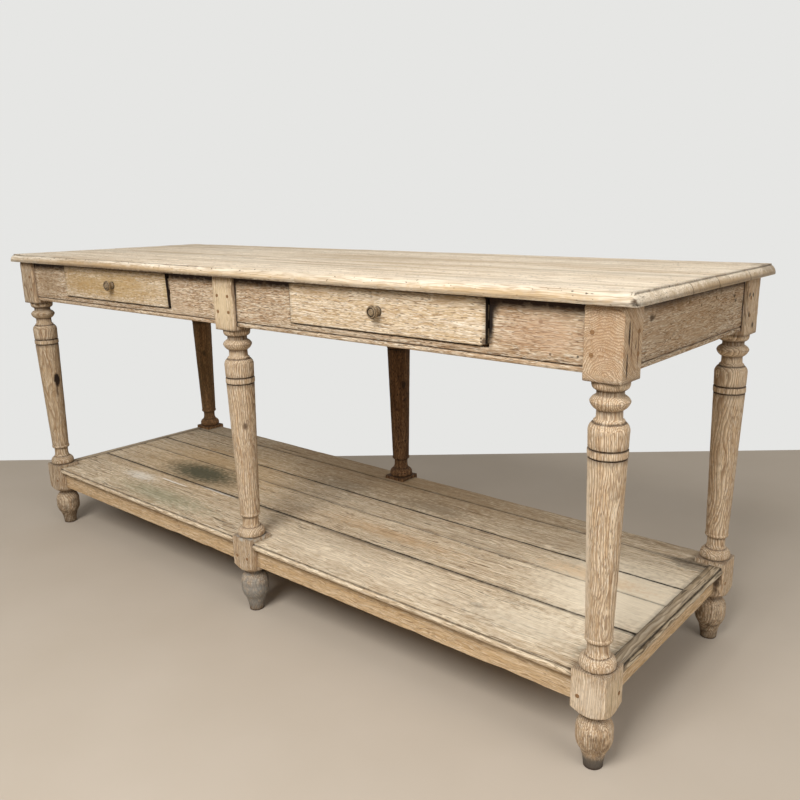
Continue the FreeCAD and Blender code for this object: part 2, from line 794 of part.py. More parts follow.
# Where the boards between the legs start, along their own side, and the legs that they join
NEAR_BAY = f"-({END_LEGS} - {HALF_BLOCK})"
FAR_BAY = HALF_BLOCK
END_BAY = f"-{END_BAY_LENGTH} / 2"
BOARDS = [
    ("front_left", FRONT, NEAR_BAY, BAY_LENGTH, ("front_left_leg", "front_middle_leg")),
    ("front_right", FRONT, FAR_BAY, BAY_LENGTH, ("front_middle_leg", "front_right_leg")),
    ("right_end", RIGHT, END_BAY, END_BAY_LENGTH, ("front_right_leg", "rear_right_leg")),
    ("rear_right", REAR, NEAR_BAY, BAY_LENGTH, ("rear_right_leg", "rear_middle_leg")),
    ("rear_left", REAR, FAR_BAY, BAY_LENGTH, ("rear_middle_leg", "rear_left_leg")),
    ("left_end", LEFT, END_BAY, END_BAY_LENGTH, ("rear_left_leg", "front_left_leg")),
]
DRAWERS = {"front_left": f"-{DRAWER_CENTRE}", "front_right": DRAWER_CENTRE}

apron_pegs = []
stretcher_pegs = []
for name, side, start, length, legs in BOARDS:
    apron_pegs += apron(f"{name}_apron", side, start, length, legs, DRAWERS.get(name))
    stretcher_pegs += stretcher(f"{name}_stretcher", side, start, length, legs)
middle_rail("middle_cross_rail", "apron", f"{UNDER_TOP} - cross_rail_height", "cross_rail_height")
middle_rail("middle_stretcher", "stretcher", STRETCHER_FOOT, "stretcher_height")
keep(group("apron_pegs", apron_pegs), "apron_pegs")
keep(group("stretcher_pegs", stretcher_pegs), "stretcher_pegs")

pattern = leg_pattern()
for row, y in (("front", f"-{FRONT_LEGS}"), ("rear", FRONT_LEGS)):
    for column, x in (("left", f"-{END_LEGS}"), ("middle", "0"), ("right", END_LEGS)):
        leg(f"{row}_{column}_leg", pattern, x, y)
top()
shelf()
for name, centre in (("left_drawer", f"-{DRAWER_CENTRE}"), ("right_drawer", DRAWER_CENTRE)):
    drawer(name, centre)
    runners(name, centre)
doc.recompute()

# Nothing is written unless every object and every sub-part is sound
for item in doc.Objects:
    if "Invalid" in item.State or "Error" in item.State:
        raise RuntimeError(f"{item.Label} did not build: {item.State}")
for node in nodes:
    if node.Shape.isNull() or not node.Shape.isValid():
        raise RuntimeError(f"{node.Label} has no valid shape")

os.makedirs("parts", exist_ok=True)
for node in nodes:
    node.Shape.exportStep(os.path.join("parts", f"{node.Label}.step"))
    print(f"{node.Label}: {len(node.Shape.Solids)} solids, {node.Shape.Volume / 1000:.1f} cm3")
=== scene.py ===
"""Looks of an old drapers table in bleached oak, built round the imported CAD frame.

Every surface is worked out in millimetres as numpy arrays, in the CAD's own frame: x along the table,
y to the rear, z up, with the origin on the floor under the middle of the top.
"""

from __future__ import annotations

import logging
import math
from dataclasses import dataclass, replace
from enum import Enum, IntEnum

import bmesh
import bpy
import numpy as np
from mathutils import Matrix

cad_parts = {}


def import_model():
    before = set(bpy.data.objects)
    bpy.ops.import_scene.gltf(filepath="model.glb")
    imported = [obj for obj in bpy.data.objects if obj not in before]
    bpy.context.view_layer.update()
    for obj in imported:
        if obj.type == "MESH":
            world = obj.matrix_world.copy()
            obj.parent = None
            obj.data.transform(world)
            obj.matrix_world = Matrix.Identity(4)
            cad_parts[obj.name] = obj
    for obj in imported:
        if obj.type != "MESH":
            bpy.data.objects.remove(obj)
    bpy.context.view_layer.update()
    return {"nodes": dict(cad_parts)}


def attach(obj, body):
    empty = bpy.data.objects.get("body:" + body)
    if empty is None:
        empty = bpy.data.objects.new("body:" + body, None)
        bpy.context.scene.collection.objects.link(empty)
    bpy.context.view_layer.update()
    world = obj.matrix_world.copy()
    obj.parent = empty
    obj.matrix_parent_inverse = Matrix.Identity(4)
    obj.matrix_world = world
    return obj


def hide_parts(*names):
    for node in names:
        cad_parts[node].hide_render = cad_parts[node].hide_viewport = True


LOG = logging.getLogger("drapers_table")
MM = 0.001
LEG_X = 940.0
LEG_Y = 282.5
HALF_BLOCK = 34.0
UNDER_TOP = 832.0
DRAWER_X = 470.0
# Longest distance between the stations of an apron or stretcher
BOARD_STEP = 12.0
# The bays between the leg blocks, along x and along y
RIGHT_BAY = (HALF_BLOCK, LEG_X - HALF_BLOCK)
LEFT_BAY = (-RIGHT_BAY[1], -RIGHT_BAY[0])
END_BAY = (-LEG_Y + HALF_BLOCK, LEG_Y - HALF_BLOCK)
# Levels of the rows of a leg's two blocks, close together where they are turned or worn
LOWER_ROWS = np.r_[110:128:13j, 134:197:10j, 198.8, 199.3, 199.7, 200]
UPPER_ROWS = np.r_[710, 710.3, 710.7, 711.2, 716:831.9:17j]
# Points nearer than this in metres are one, and edges that turn by more than this angle stay sharp
WELD = 0.00001
SHARP = math.radians(34.0)

Array = np.ndarray
Material = bpy.types.Material
Socket = bpy.types.NodeSocket
Tree = bpy.types.NodeTree
Colour = Socket | tuple[float, float, float, float]
Value = Socket | float
Pair = tuple[float, float]
Triple = tuple[float, float, float]


class Axis(Enum):
    """The way that the grain of a piece runs, as the order of x, y and z in along, across, through."""

    X = (0, 1, 2)
    Y = (1, 0, 2)
    Z = (2, 0, 1)


class Seed(IntEnum):
    """First seeds of the unevenness of each kind of piece, and of the knocks along its edges."""

    TOP = 5
    TOP_EDGE = 31
    TOP_END = 41
    APRON = 60
    STRETCHER = 80
    STRETCHER_EDGE = 90
    SHELF = 100
    SHELF_EDGE = 111
    CAP_EDGE = 121
    DRAWER = 140


class GrainSource(Enum):
    """Where an oak finish reads the grain from."""

    PIECE = "the piece's own grain attribute"
    OBJECT = "Object coordinates, for the hidden CAD pieces"


@dataclass(frozen=True)
class Timber:
    """How one piece was sawn from its log."""

    axis: Axis
    pith: Pair
    shift: float = 0.0
    tone: float = 0.0
    # Where the grain dives near a branch: place along, width of the start, slope, and shift across
    swirl: tuple[float, float, float, float] = (0.0, 1.0, 0.0, 0.0)

    def grain(self, points: Array) -> Array:
        """Grain coordinates: along the grain, and across and through it from the log's pith.

        Args:
            points: Points of the piece in mm, of shape (n, 3).

        Returns:
            The along, across and through coordinates in mm, of the same shape.
        """
        sawn = points[:, list(self.axis.value)]
        start, width, slope, shift = self.swirl
        dive = ease(sawn[:, 0], start, start + width) * (slope != 0)
        bent = sawn - np.array([self.shift, *self.pith])
        bent[:, 1] += shift * dive
        bent[:, 2] += slope * (sawn[:, 0] - start) * dive
        return bent


@dataclass
class Skin:
    """A grid of points with dirt and painted shade at each, where 1 is patchy and 2 hides the wood. Rings
    get end caps.
    """

    points: Array
    dirt_and_shade: Array
    ringed: bool = False


def ripple(points: Array, seed: int, longest: float, shortest: float) -> Array:
    """Smooth seeded unevenness: the mean of sine waves that run in random directions.

    Args:
        points: Coordinates in mm, of shape (..., k).
        seed: Seed of the directions and phases.
        longest: Longest wavelength in mm.
        shortest: Shortest wavelength in mm.

    Returns:
        Values of about -1 to 1, of shape (...).
    """
    waves = 8
    rng = np.random.default_rng(seed)
    directions = rng.normal(size=(waves, points.shape[-1]))
    directions /= np.linalg.norm(directions, axis=1, keepdims=True)
    steps = directions * (2 * np.pi / np.geomspace(longest, shortest, waves))[:, None]
    phases = rng.uniform(0, 2 * np.pi, waves)
    return np.sin(points @ steps.T + phases).sum(-1) / math.sqrt(waves)


def dents(along: Array, seed: int, every: float, width: float, depth: float) -> Array:
    """Knocks along an edge: bell curves of seeded depth and width at seeded places, added up.

    Args:
        along: Places along the edge in mm.
        seed: Seed of the knocks.
        every: Mean distance between knocks in mm.
        width: Usual half width of a knock in mm.
        depth: Depth of the deepest knock in mm.

    Returns:
        Depth of wear at each place, in mm.
    """
    rng = np.random.default_rng(seed)
    low, high = float(along.min()), float(along.max())
    count = max(2, int((high - low) / every))
    centres = rng.uniform(low, high, count)
    widths = width * rng.uniform(0.4, 1.7, count)
    depths = depth * rng.uniform(0.1, 1.0, count) ** 2
    return (depths * bell(along[..., None], centres, widths)).sum(-1)


def bell(values: Array, centre: Array | float, width: Array | float) -> Array:
    """Bell curve of height 1 at centre, down to a third one width away."""
    return np.exp(-(((values - centre) / width) ** 2))


def ease(values: Array, low: float, high: float) -> Array:
    """Smooth step from 0 at low to 1 at high, also where low is above high."""
    share = np.clip((values - low) / (high - low), 0, 1)
    return share * share * (3 - 2 * share)


def lathe(profile: tuple[Triple, ...], curve: float, straight: float) -> Array:
    """Points of a turned profile: each chord is cut into steps and bowed by a parabola.

    Args:
        profile: Radius, height, and bow of the line to the next point, hollow where negative.
        curve: Longest step on a bowed line in mm.
        straight: Longest step on a straight line in mm.

    Returns:
        Radii and heights, of shape (n, 2).
    """
    runs = []
    for (*start, bow), (*end, _) in zip(profile, profile[1:]):
        chord = np.subtract(end, start)
        length = float(np.hypot(*chord))
        count = max(1, math.ceil(length / (curve if bow else straight)))
        share = np.arange(count)[:, None] / count
        normal = np.array([chord[1], -chord[0]]) / length
        runs.append(np.array(start) + share * chord + 4 * bow * share * (1 - share) * normal)
    return np.vstack([*runs, profile[-1][:2]])


def turned(radii: Array | float, turns: Array, heights: Array) -> Array:
    """Points round an upright axis.

    Args:
        radii: One radius, or radii of shape (m, n) or (m, 1).
        turns: Angles, of shape (n,).
        heights: Levels, of shape (m,).

    Returns:
        Points of shape (m, n, 3).
    """
    grid = (radii * np.cos(turns)[None, :], radii * np.sin(turns)[None, :], heights[:, None])
    return np.stack(np.broadcast_arrays(*grid), axis=-1)


def densify(loop: Array, step: float) -> Array:
    """Adds points along a closed loop, so that none are further apart than step.

    Args:
        loop: Corners, of shape (n, 2), first corner not repeated.
        step: Longest distance between points in mm.

    Returns:
        The loop with the added points.
    """
    closed = np.vstack([loop, loop[:1]])
    lengths = np.hypot(*np.diff(closed, axis=0).T)
    counts = np.maximum(1, np.ceil(lengths / step).astype(int))
    starts = np.repeat(np.arange(len(loop)), counts)
    within = np.arange(counts.sum()) - np.repeat(np.cumsum(counts) - counts, counts)
    share = (within / np.repeat(counts, counts))[:, None]
    return closed[starts] * (1 - share) + closed[starts + 1] * share


def eased_box(low: Pair, high: Pair, radius: float, step: float) -> Array:
    """Rectangle with rounded arrises: a quarter circle at each corner, straight between.

    Args:
        low: Lowest corner in mm.
        high: Highest corner in mm.
        radius: Radius of the arrises in mm.
        step: Longest distance between points in mm.

    Returns:
        Closed loop of points, of shape (n, 2), counter-clockwise.
    """
    beside = 2.2
    corners = []
    for number, (right, upper) in enumerate(((1, 1), (0, 1), (0, 0), (1, 0))):
        middle = np.array([
            high[0] - radius if right else low[0] + radius,
            high[1] - radius if upper else low[1] + radius,
        ])
        turns = np.radians(number * 90 + np.arange(4) * 30)
        arc = middle + radius * np.stack([np.cos(turns), np.sin(turns)], axis=1)
        flat = beside * np.stack([-np.sin(turns), np.cos(turns)], axis=1)
        corners.append(np.vstack([arc[0] - flat[0], arc, arc[-1] + flat[-1]]))
    return densify(np.vstack(corners), step)


def stations(low: float, high: float, step: float, extra: tuple[float, ...] = ()) -> Array:
    """Places along a piece, evenly spaced, with the extra places among them, sorted."""
    even = np.linspace(low, high, max(2, round((high - low) / step) + 1))
    return np.unique(np.concatenate([even, np.array(extra, float)]))


def carry(section: Array, along: Array, axis: Axis) -> Array:
    """Carries a section along a straight path: each station holds the whole section.

    Args:
        section: Points across and up, of shape (n, 2).
        along: Places along the path, of shape (m,).
        axis: X for a path along x with y across, Y for a path along y with x across.

    Returns:
        Points of shape (m, n, 3).
    """
    points = np.empty((len(along), len(section), 3))
    points[..., axis.value[0]] = along[:, None]
    points[..., axis.value[1]] = section[:, 0]
    points[..., 2] = section[:, 1]
    return points


def round_ends(points: Array, radius: float) -> Array:
    """Eases the arrises at both ends of a section carried along x by drawing the last stations in.

    Args:
        points: Points of shape (m, n, 3), with stations inside the radius at both ends.
        radius: Radius of the arris in mm.

    Returns:
        The points, with each station near an end drawn towards the section's middle.
    """
    run, section = points[..., 0], points[..., 1:]
    gap = np.minimum(run - run.min(), run.max() - run)
    inset = radius - np.sqrt(np.clip(radius**2 - np.clip(radius - gap, 0, radius) ** 2, 0, None))
    middle = (section.max(axis=1, keepdims=True) + section.min(axis=1, keepdims=True)) / 2
    away = section - middle
    reach = np.abs(away).max(axis=1, keepdims=True)
    return np.concatenate([points[..., :1], middle + away * (1 - inset[..., None] / reach)], axis=-1)


def skin_mesh(name: str, skins: list[Skin], timber: Timber) -> bpy.types.Mesh:
    """Makes one mesh of several skins, with a quad between every four neighbours of a grid.

    A cap closes the first and last row of a ringed skin to a pole at its middle. Points that meet are
    welded, faces are turned outwards, and grain, dirt with painted shade, and tone are kept at each
    point.

    Args:
        name: Name of the mesh.
        skins: Grids of points in mm.
        timber: How the piece was sawn.

    Returns:
        The mesh, in metres.
    """
    points, dirt_and_shade, quads, fans = [], [], [], []
    total = 0
    for skin in skins:
        rows, columns = skin.points.shape[:2]
        index = np.arange(rows * columns).reshape(rows, columns) + total
        ring = np.concatenate([index, index[:, :1]], axis=1) if skin.ringed else index
        corners = [ring[:-1, :-1], ring[:-1, 1:], ring[1:, 1:], ring[1:, :-1]]
        quads += np.stack(corners, axis=-1).reshape(-1, 4).tolist()
        points.append(skin.points.reshape(-1, 3))
        dirt_and_shade.append(skin.dirt_and_shade.ravel())
        total += rows * columns
        for row in (0, -1) if skin.ringed else ():
            points.append(skin.points[row].mean(axis=0, keepdims=True))
            dirt_and_shade.append(skin.dirt_and_shade[row].mean(keepdims=True))
            pole = np.full(columns, total)
            fans += np.stack([ring[row, :-1], ring[row, 1:], pole], axis=1).tolist()
            total += 1
    flat = np.concatenate(points)
    mesh = bpy.data.meshes.new(name)
    mesh.from_pydata((flat * MM).tolist(), [], quads + fans)
    kept = (
        ("grain", "FLOAT_VECTOR", "vector", timber.grain(flat)),
        ("dirt_and_shade", "FLOAT", "value", np.clip(np.concatenate(dirt_and_shade), 0, 2)),
        ("tone", "FLOAT", "value", np.full(len(flat), timber.tone)),
    )
    for label, kind, key, values in kept:
        attribute = mesh.attributes.new(label, kind, "POINT")
        attribute.data.foreach_set(key, values.astype(np.float32).ravel())
    welded = bmesh.new()
    welded.from_mesh(mesh)
    bmesh.ops.remove_doubles(welded, verts=welded.verts, dist=WELD)
    bmesh.ops.dissolve_degenerate(welded, edges=welded.edges, dist=WELD / 2)
    bmesh.ops.recalc_face_normals(welded, faces=welded.faces)
    welded.to_mesh(mesh)
    welded.free()
    mesh.polygons.foreach_set("use_smooth", np.ones(len(mesh.polygons), bool))
    mesh.set_sharp_from_angle(angle=SHARP)
    return mesh


def add_object(name: str, data: bpy.types.ID) -> bpy.types.Object:
    """Adds an object to the scene, at the origin.

    Args:
        name: Name of the object.
        data: Its mesh, light or camera.

    Returns:
        The object.
    """
    made = bpy.data.objects.new(name, data)
    bpy.context.scene.collection.objects.link(made)
    return made


@dataclass(frozen=True)
class Dressing:
    """The finish of a piece, the name of a material slot, which nothing reads, and the CAD body that it
    rides on.
    """

    oak: Material
    slot: str
    body: str = "frame"

    def put_on(self, node: str, name: str, skins: list[Skin], timber: Timber) -> None:
        """Makes a piece and puts it in the place of a CAD node.

        Args:
            node: The CAD node that it replaces.
            name: Name of the piece.
            skins: Its surfaces.
            timber: How it was sawn.
        """
        piece = add_object(name, skin_mesh(name, skins, timber))
        piece.data.materials.append(self.oak)
        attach(piece, self.body)
        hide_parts(node)
        LOG.info("%s: %d faces, for %s", name, len(piece.data.polygons), node)


def linear(code: str) -> tuple[float, float, float, float]:
    """Turns an sRGB hex colour into the linear values that a shader takes.

    Args:
        code: Colour such as "#c0a080".

    Returns:
        Linear red, green and blue, and an alpha of 1.
    """
    parts = [int(code[start : start + 2], 16) / 255 for start in (1, 3, 5)]
    red, green, blue = [p / 12.92 if p <= 0.04045 else ((p + 0.055) / 1.055) ** 2.4 for p in parts]
    return red, green, blue, 1.0


def put(tree: Tree, kind: str, inputs: dict | None = None, **settings: object) -> Socket | None:
    """Adds a node with its settings, and links or sets its inputs.

    Args:
        tree: Node tree of a material or world.
        kind: Blender's name of the node type, after ShaderNode.
        inputs: Socket names or numbers, each with a socket to link from or a value.
        **settings: Properties of the node.

    Returns:
        The first output in use, or None where the node has none.
    """
    made = tree.nodes.new(f"ShaderNode{kind}")
    for key, value in settings.items():
        setattr(made, key, value)
    for key, value in (inputs or {}).items():
        if isinstance(value, Socket):
            tree.links.new(value, made.inputs[key])
        else:
            made.inputs[key].default_value = value
    return next((socket for socket in made.outputs if socket.enabled), None)


def bare_tree(owner: Material | bpy.types.World) -> Tree:
    """Switches a new material or world to nodes, and returns its emptied node tree."""
    owner.use_nodes = True
    owner.node_tree.nodes.clear()
    return owner.node_tree


@dataclass(frozen=True)
class Marks:
    """Marks of one kind in the wood: noise stretched along the grain and cut off between two levels."""

    along: float
    across: float
    low: float
    high: float
    share: float
    colour: str
    detail: float = 1.5
    # How deep the marks lie, in mm
    depth: float = 0.0
    # How far the marks keep to the early wood of each year
    early: float = 0.0

    def lay(
        self, tree: Tree, grain: Socket, late: Socket, colour: Colour, height: Value
    ) -> tuple[Colour, Value]:
        """Lays the marks over a colour and cuts them into a height.

        Args:
            tree: The material's node tree.
            grain: Grain coordinates in mm.
            late: How late in its year the wood is, from 0 to 1.
            colour: Colour below the marks.
            height: Height below the marks, in mm.

        Returns:
            The colour and height with the marks.
        """
        size = (1 / self.along, 1 / self.across, 1 / self.across)
        scaled = put(tree, "VectorMath", {0: grain, 1: size}, operation="MULTIPLY")
        noise = put(tree, "TexNoise", {"Vector": scaled, "Scale": 1.0, "Detail": self.detail})
        cut = {"Value": noise, 1: self.low, 2: self.high, 3: 0.0, 4: self.share}
        marks = put(tree, "MapRange", cut, interpolation_type="SMOOTHSTEP")
        if self.early:
            kept = put(tree, "MapRange", {"Value": late, 1: 0.0, 2: 0.6, 3: 1.0, 4: 1 - self.early})
            marks = put(tree, "Math", {0: marks, 1: kept}, operation="MULTIPLY")
        colour = put(tree, "Mix", {0: marks, 6: colour, 7: linear(self.colour)}, data_type="RGBA")
        if self.depth:
            sunk = {0: marks, 1: -self.depth / self.share, 2: height}
            height = put(tree, "Math", sunk, operation="MULTIPLY_ADD")
        return colour, height


@dataclass(frozen=True)
class StainOrPaintedLight:
    """A mark at one place, a stain or a patch of painted light or shade: an ellipsoid in mm with a soft,
    broken edge.
    """

    centre: Triple
    radii: Triple
    colour: str
    strength: float = 0.7
    broken: float = 0.5
    hard: float = 0.4

    def lay(self, tree: Tree, place: Socket, blots: Socket, colour: Colour) -> Colour:
        """Lays the mark over a colour, by the distance from its centre in radii plus a blotchy noise.

        Args:
            tree: The material's node tree.
            place: Object coordinates in mm.
            blots: Blotchy noise about 0.5.
            colour: Colour below the mark.

        Returns:
            The colour with the mark.
        """
        share = tuple(1 / radius for radius in self.radii)
        away = put(tree, "VectorMath", {0: place, 1: self.centre}, operation="SUBTRACT")
        away = put(tree, "VectorMath", {0: away, 1: share}, operation="MULTIPLY")
        reach = put(tree, "VectorMath", {0: away}, operation="LENGTH")
        inwards = put(tree, "Math", {0: reach, 1: self.broken}, operation="SUBTRACT")
        torn = {0: blots, 1: 2 * self.broken, 2: inwards}
        ragged = put(tree, "Math", torn, operation="MULTIPLY_ADD")
        cut = {"Value": ragged, 1: 1.0, 2: self.hard, 3: 0.0, 4: self.strength}
        mark = put(tree, "MapRange", cut, interpolation_type="SMOOTHSTEP")
        return put(tree, "Mix", {0: mark, 6: colour, 7: linear(self.colour)}, data_type="RGBA")


@dataclass(frozen=True)
class OakFinish:
    """Old oak, hand planed or turned, stripped with lye and left bare.

    To the eye that is a dry, chalky, pale tan surface with long streaks, darker late wood in rings,
    short open pores that hold dirt, and grey-brown grime in every groove. The grime colour is also
    painted as shade under overhangs, at gaps and in the hollows of the turnings.
    """

    name: str
    base: str
    late: str
    layers: tuple[Marks, ...]
    # Colour of the grime, which also stands for painted shade under overhangs, at gaps and in hollows
    grime: str = "#2b2015"
    # Width of a year's growth, how strongly its late wood shows, and how far the rings wander
    ring_mm: float = 6.5
    late_share: float = 0.4
    wander_mm: float = 30.0
    # How far the grain wavers from straight
    waver_mm: float = 6.0
    roughness: float = 0.8
    sheen: float = 0.28
    # Stains in the wood, and patches of painted light and shade
    stains_and_painted_light: tuple[StainOrPaintedLight, ...] = ()
    # Lengths along, across and through the grain over which the rings wander and the grain wavers
    wander_over: Triple = (190, 38, 38)
    waver_over: Triple = (70, 28, 28)
    # Where the pith lies for pieces without grain coordinates, in mm
    pith: Triple = (140.0, 60.0, 25.0)
    # How much a board's tone of 1 brightens it
    tone_share: float = 0.25

    def year_rings(self, tree: Tree, grain: Socket) -> Socket:
        """Late wood: the distance from the pith, wandering along the grain, cut into years.

        Args:
            tree: The material's node tree.
            grain: Grain coordinates in mm.

        Returns:
            How much late wood there is, from 0 to 1, dark at the end of each year.
        """
        crosswise = put(tree, "VectorMath", {0: grain, 1: (0, 1, 1)}, operation="MULTIPLY")
        radius = put(tree, "VectorMath", {0: crosswise}, operation="LENGTH")
        size = tuple(1 / length for length in self.wander_over)
        slow = put(tree, "VectorMath", {0: grain, 1: size}, operation="MULTIPLY")
        wander = put(tree, "TexNoise", {"Vector": slow, "Scale": 1.0, "Detail": 1.5})
        wide = {0: wander, 1: self.wander_mm, 2: radius}
        wandered = put(tree, "Math", wide, operation="MULTIPLY_ADD")
        years = put(tree, "Math", {0: wandered, 1: self.ring_mm}, operation="DIVIDE")
        year = put(tree, "Math", {0: years}, operation="FRACT")
        rise = put(tree, "MapRange", {"Value": year, 1: 0.3, 2: 0.85, 3: 0.0, 4: 1.0})
        fall = put(tree, "MapRange", {"Value": year, 1: 1.0, 2: 0.93, 3: 0.0, 4: 1.0})
        return put(tree, "Math", {0: rise, 1: fall}, operation="MULTIPLY")

    def build(self, source: GrainSource = GrainSource.PIECE) -> Material:
        """Builds the material from the base colour up: layers of marks, rings, stains and painted light,
        then grime and painted shade.

        Args:
            source: Where the grain coordinates come from.

        Returns:
            The material.
        """
        material = bpy.data.materials.new(self.name)
        tree = bare_tree(material)
        metres = put(tree, "TexCoord").node.outputs["Object"]
        place = put(tree, "VectorMath", {0: metres, 1: (1000, 1000, 1000)}, operation="MULTIPLY")
        if source is GrainSource.PIECE:
            grain = put(tree, "Attribute", attribute_name="grain").node.outputs["Vector"]
        else:
            grain = put(tree, "VectorMath", {0: place, 1: self.pith}, operation="SUBTRACT")
        size = tuple(1 / length for length in self.waver_over)
        slow = put(tree, "VectorMath", {0: grain, 1: size}, operation="MULTIPLY")
        noise = put(tree, "TexNoise", {"Vector": slow, "Scale": 1.0, "Detail": 1.0})
        swing = {0: noise.node.outputs["Color"], 1: (0.5, 0.5, 0.5)}
        waver = put(tree, "VectorMath", swing, operation="SUBTRACT")
        reach = {0: waver, 1: (0.0, 2 * self.waver_mm, 2 * self.waver_mm), 2: grain}
        grain = put(tree, "VectorMath", reach, operation="MULTIPLY_ADD")

        late = self.year_rings(tree, grain)
        colour, height = linear(self.base), 0.0
        for layer in self.layers:
            colour, height = layer.lay(tree, grain, late, colour, height)
        share = put(tree, "Math", {0: late, 1: self.late_share}, operation="MULTIPLY")
        colour = put(tree, "Mix", {0: share, 6: colour, 7: linear(self.late)}, data_type="RGBA")
        blots = put(tree, "TexNoise", {"Vector": place, "Scale": 0.09, "Detail": 4.0})
        if source is GrainSource.PIECE:
            tone = put(tree, "Attribute", attribute_name="tone").node.outputs["Fac"]
            value = put(tree, "Math", {0: tone, 1: self.tone_share, 2: 1.0}, operation="MULTIPLY_ADD")
            colour = put(tree, "HueSaturation", {"Value": value, "Color": colour})
        for patch in self.stains_and_painted_light:
            colour = patch.lay(tree, place, blots, colour)
        if source is GrainSource.PIECE:
            # Grime, and painted shade where a piece asks for it, darkens the colour in blotches
            dirt_and_shade = put(tree, "Attribute", attribute_name="dirt_and_shade").node.outputs["Fac"]
            patchy = put(tree, "MapRange", {"Value": blots, 1: 0.25, 2: 0.6, 3: 0.65, 4: 1.0})
            darkness = put(tree, "Math", {0: dirt_and_shade, 1: patchy}, operation="MULTIPLY")
            colour = put(tree, "Mix", {0: darkness, 6: colour, 7: linear(self.grime)}, data_type="RGBA")
        bump = put(tree, "Bump", {"Strength": 0.8, "Distance": MM, "Height": height})
        look = {
            "Base Color": colour,
            "Roughness": self.roughness,
            "Specular IOR Level": self.sheen,
            "Normal": bump,
        }
        put(tree, "OutputMaterial", {"Surface": put(tree, "BsdfPrincipled", look)})
        return material


# In each list of layers: streaks a hand long, fibres, then open pores. The pores are really 0.3 mm
# wide and are drawn 1 to 2 mm wide so that they show, between flecks of the pale lye in the rest.
HOLE = "#1c130b"
TOP_OAK = OakFinish(
    name="oak_scrubbed_top", base="#e6d9c4", late="#bfa88a", ring_mm=14.0, late_share=0.25,
    wander_mm=60.0, waver_mm=3.0,
    layers=(
        Marks(420, 22, 0.40, 0.62, 0.7, "#d3c2a9", 3.0, 0.15),
        Marks(900, 40, 0.50, 0.62, 0.6, "#b39d80", 2.0),
        Marks(500, 5, 0.60, 0.68, 0.5, "#8a7257", 2.0, 0.4),
        Marks(340, 4, 0.66, 0.72, 0.6, "#5a4530", 1.0, 0.8),
        Marks(60, 1.7, 0.48, 0.62, 0.6, "#9a8062", 1.0, 0.3),
        Marks(7, 4, 0.755, 0.79, 0.9, HOLE, 0.0),
        Marks(330, 90, 0.46, 0.70, 0.35, "#bfb6a6", 3.0),
    ),
    stains_and_painted_light=(
        StainOrPaintedLight((-328, -56, 854), (9, 7, 9), HOLE, 0.8, 0.4),
        StainOrPaintedLight((200, -160, 854), (330, 26, 9), "#a08b70", 0.55, 0.7, 0.2),
        StainOrPaintedLight((-40, -100, 854), (260, 12, 9), "#94806a", 0.5, 0.7, 0.2),
        StainOrPaintedLight((985, 290, 846), (40, 60, 16), "#8a7a66", 0.7, 0.8),
        StainOrPaintedLight((700, 120, 854), (300, 60, 9), "#b8a68d", 0.5, 0.8, 0.1),
        StainOrPaintedLight((100, 60, 854), (460, 160, 9), "#a48e70", 0.5, 0.6, 0.0),
        StainOrPaintedLight((-150, -333, 839), (1300, 9, 15), "#c6a678", 0.6, 0.3, 0.1),
        StainOrPaintedLight((1000, 40, 838), (9, 420, 16), "#a0845f", 0.8, 0.4, 0.1),
        StainOrPaintedLight((760, -333, 839), (330, 12, 15), "#c0a072", 0.6, 0.4, 0.2),
        StainOrPaintedLight((-520, -333, 840), (600, 10, 16), "#a1825a", 0.65, 0.4, 0.1),
        StainOrPaintedLight((-100, -334, 833), (950, 6, 3), "#4a3420", 0.7, 0.7, 0.2),
        StainOrPaintedLight((995, -330, 840), (9, 6, 6), "#4a321c", 0.9, 0.5),
    ),
)
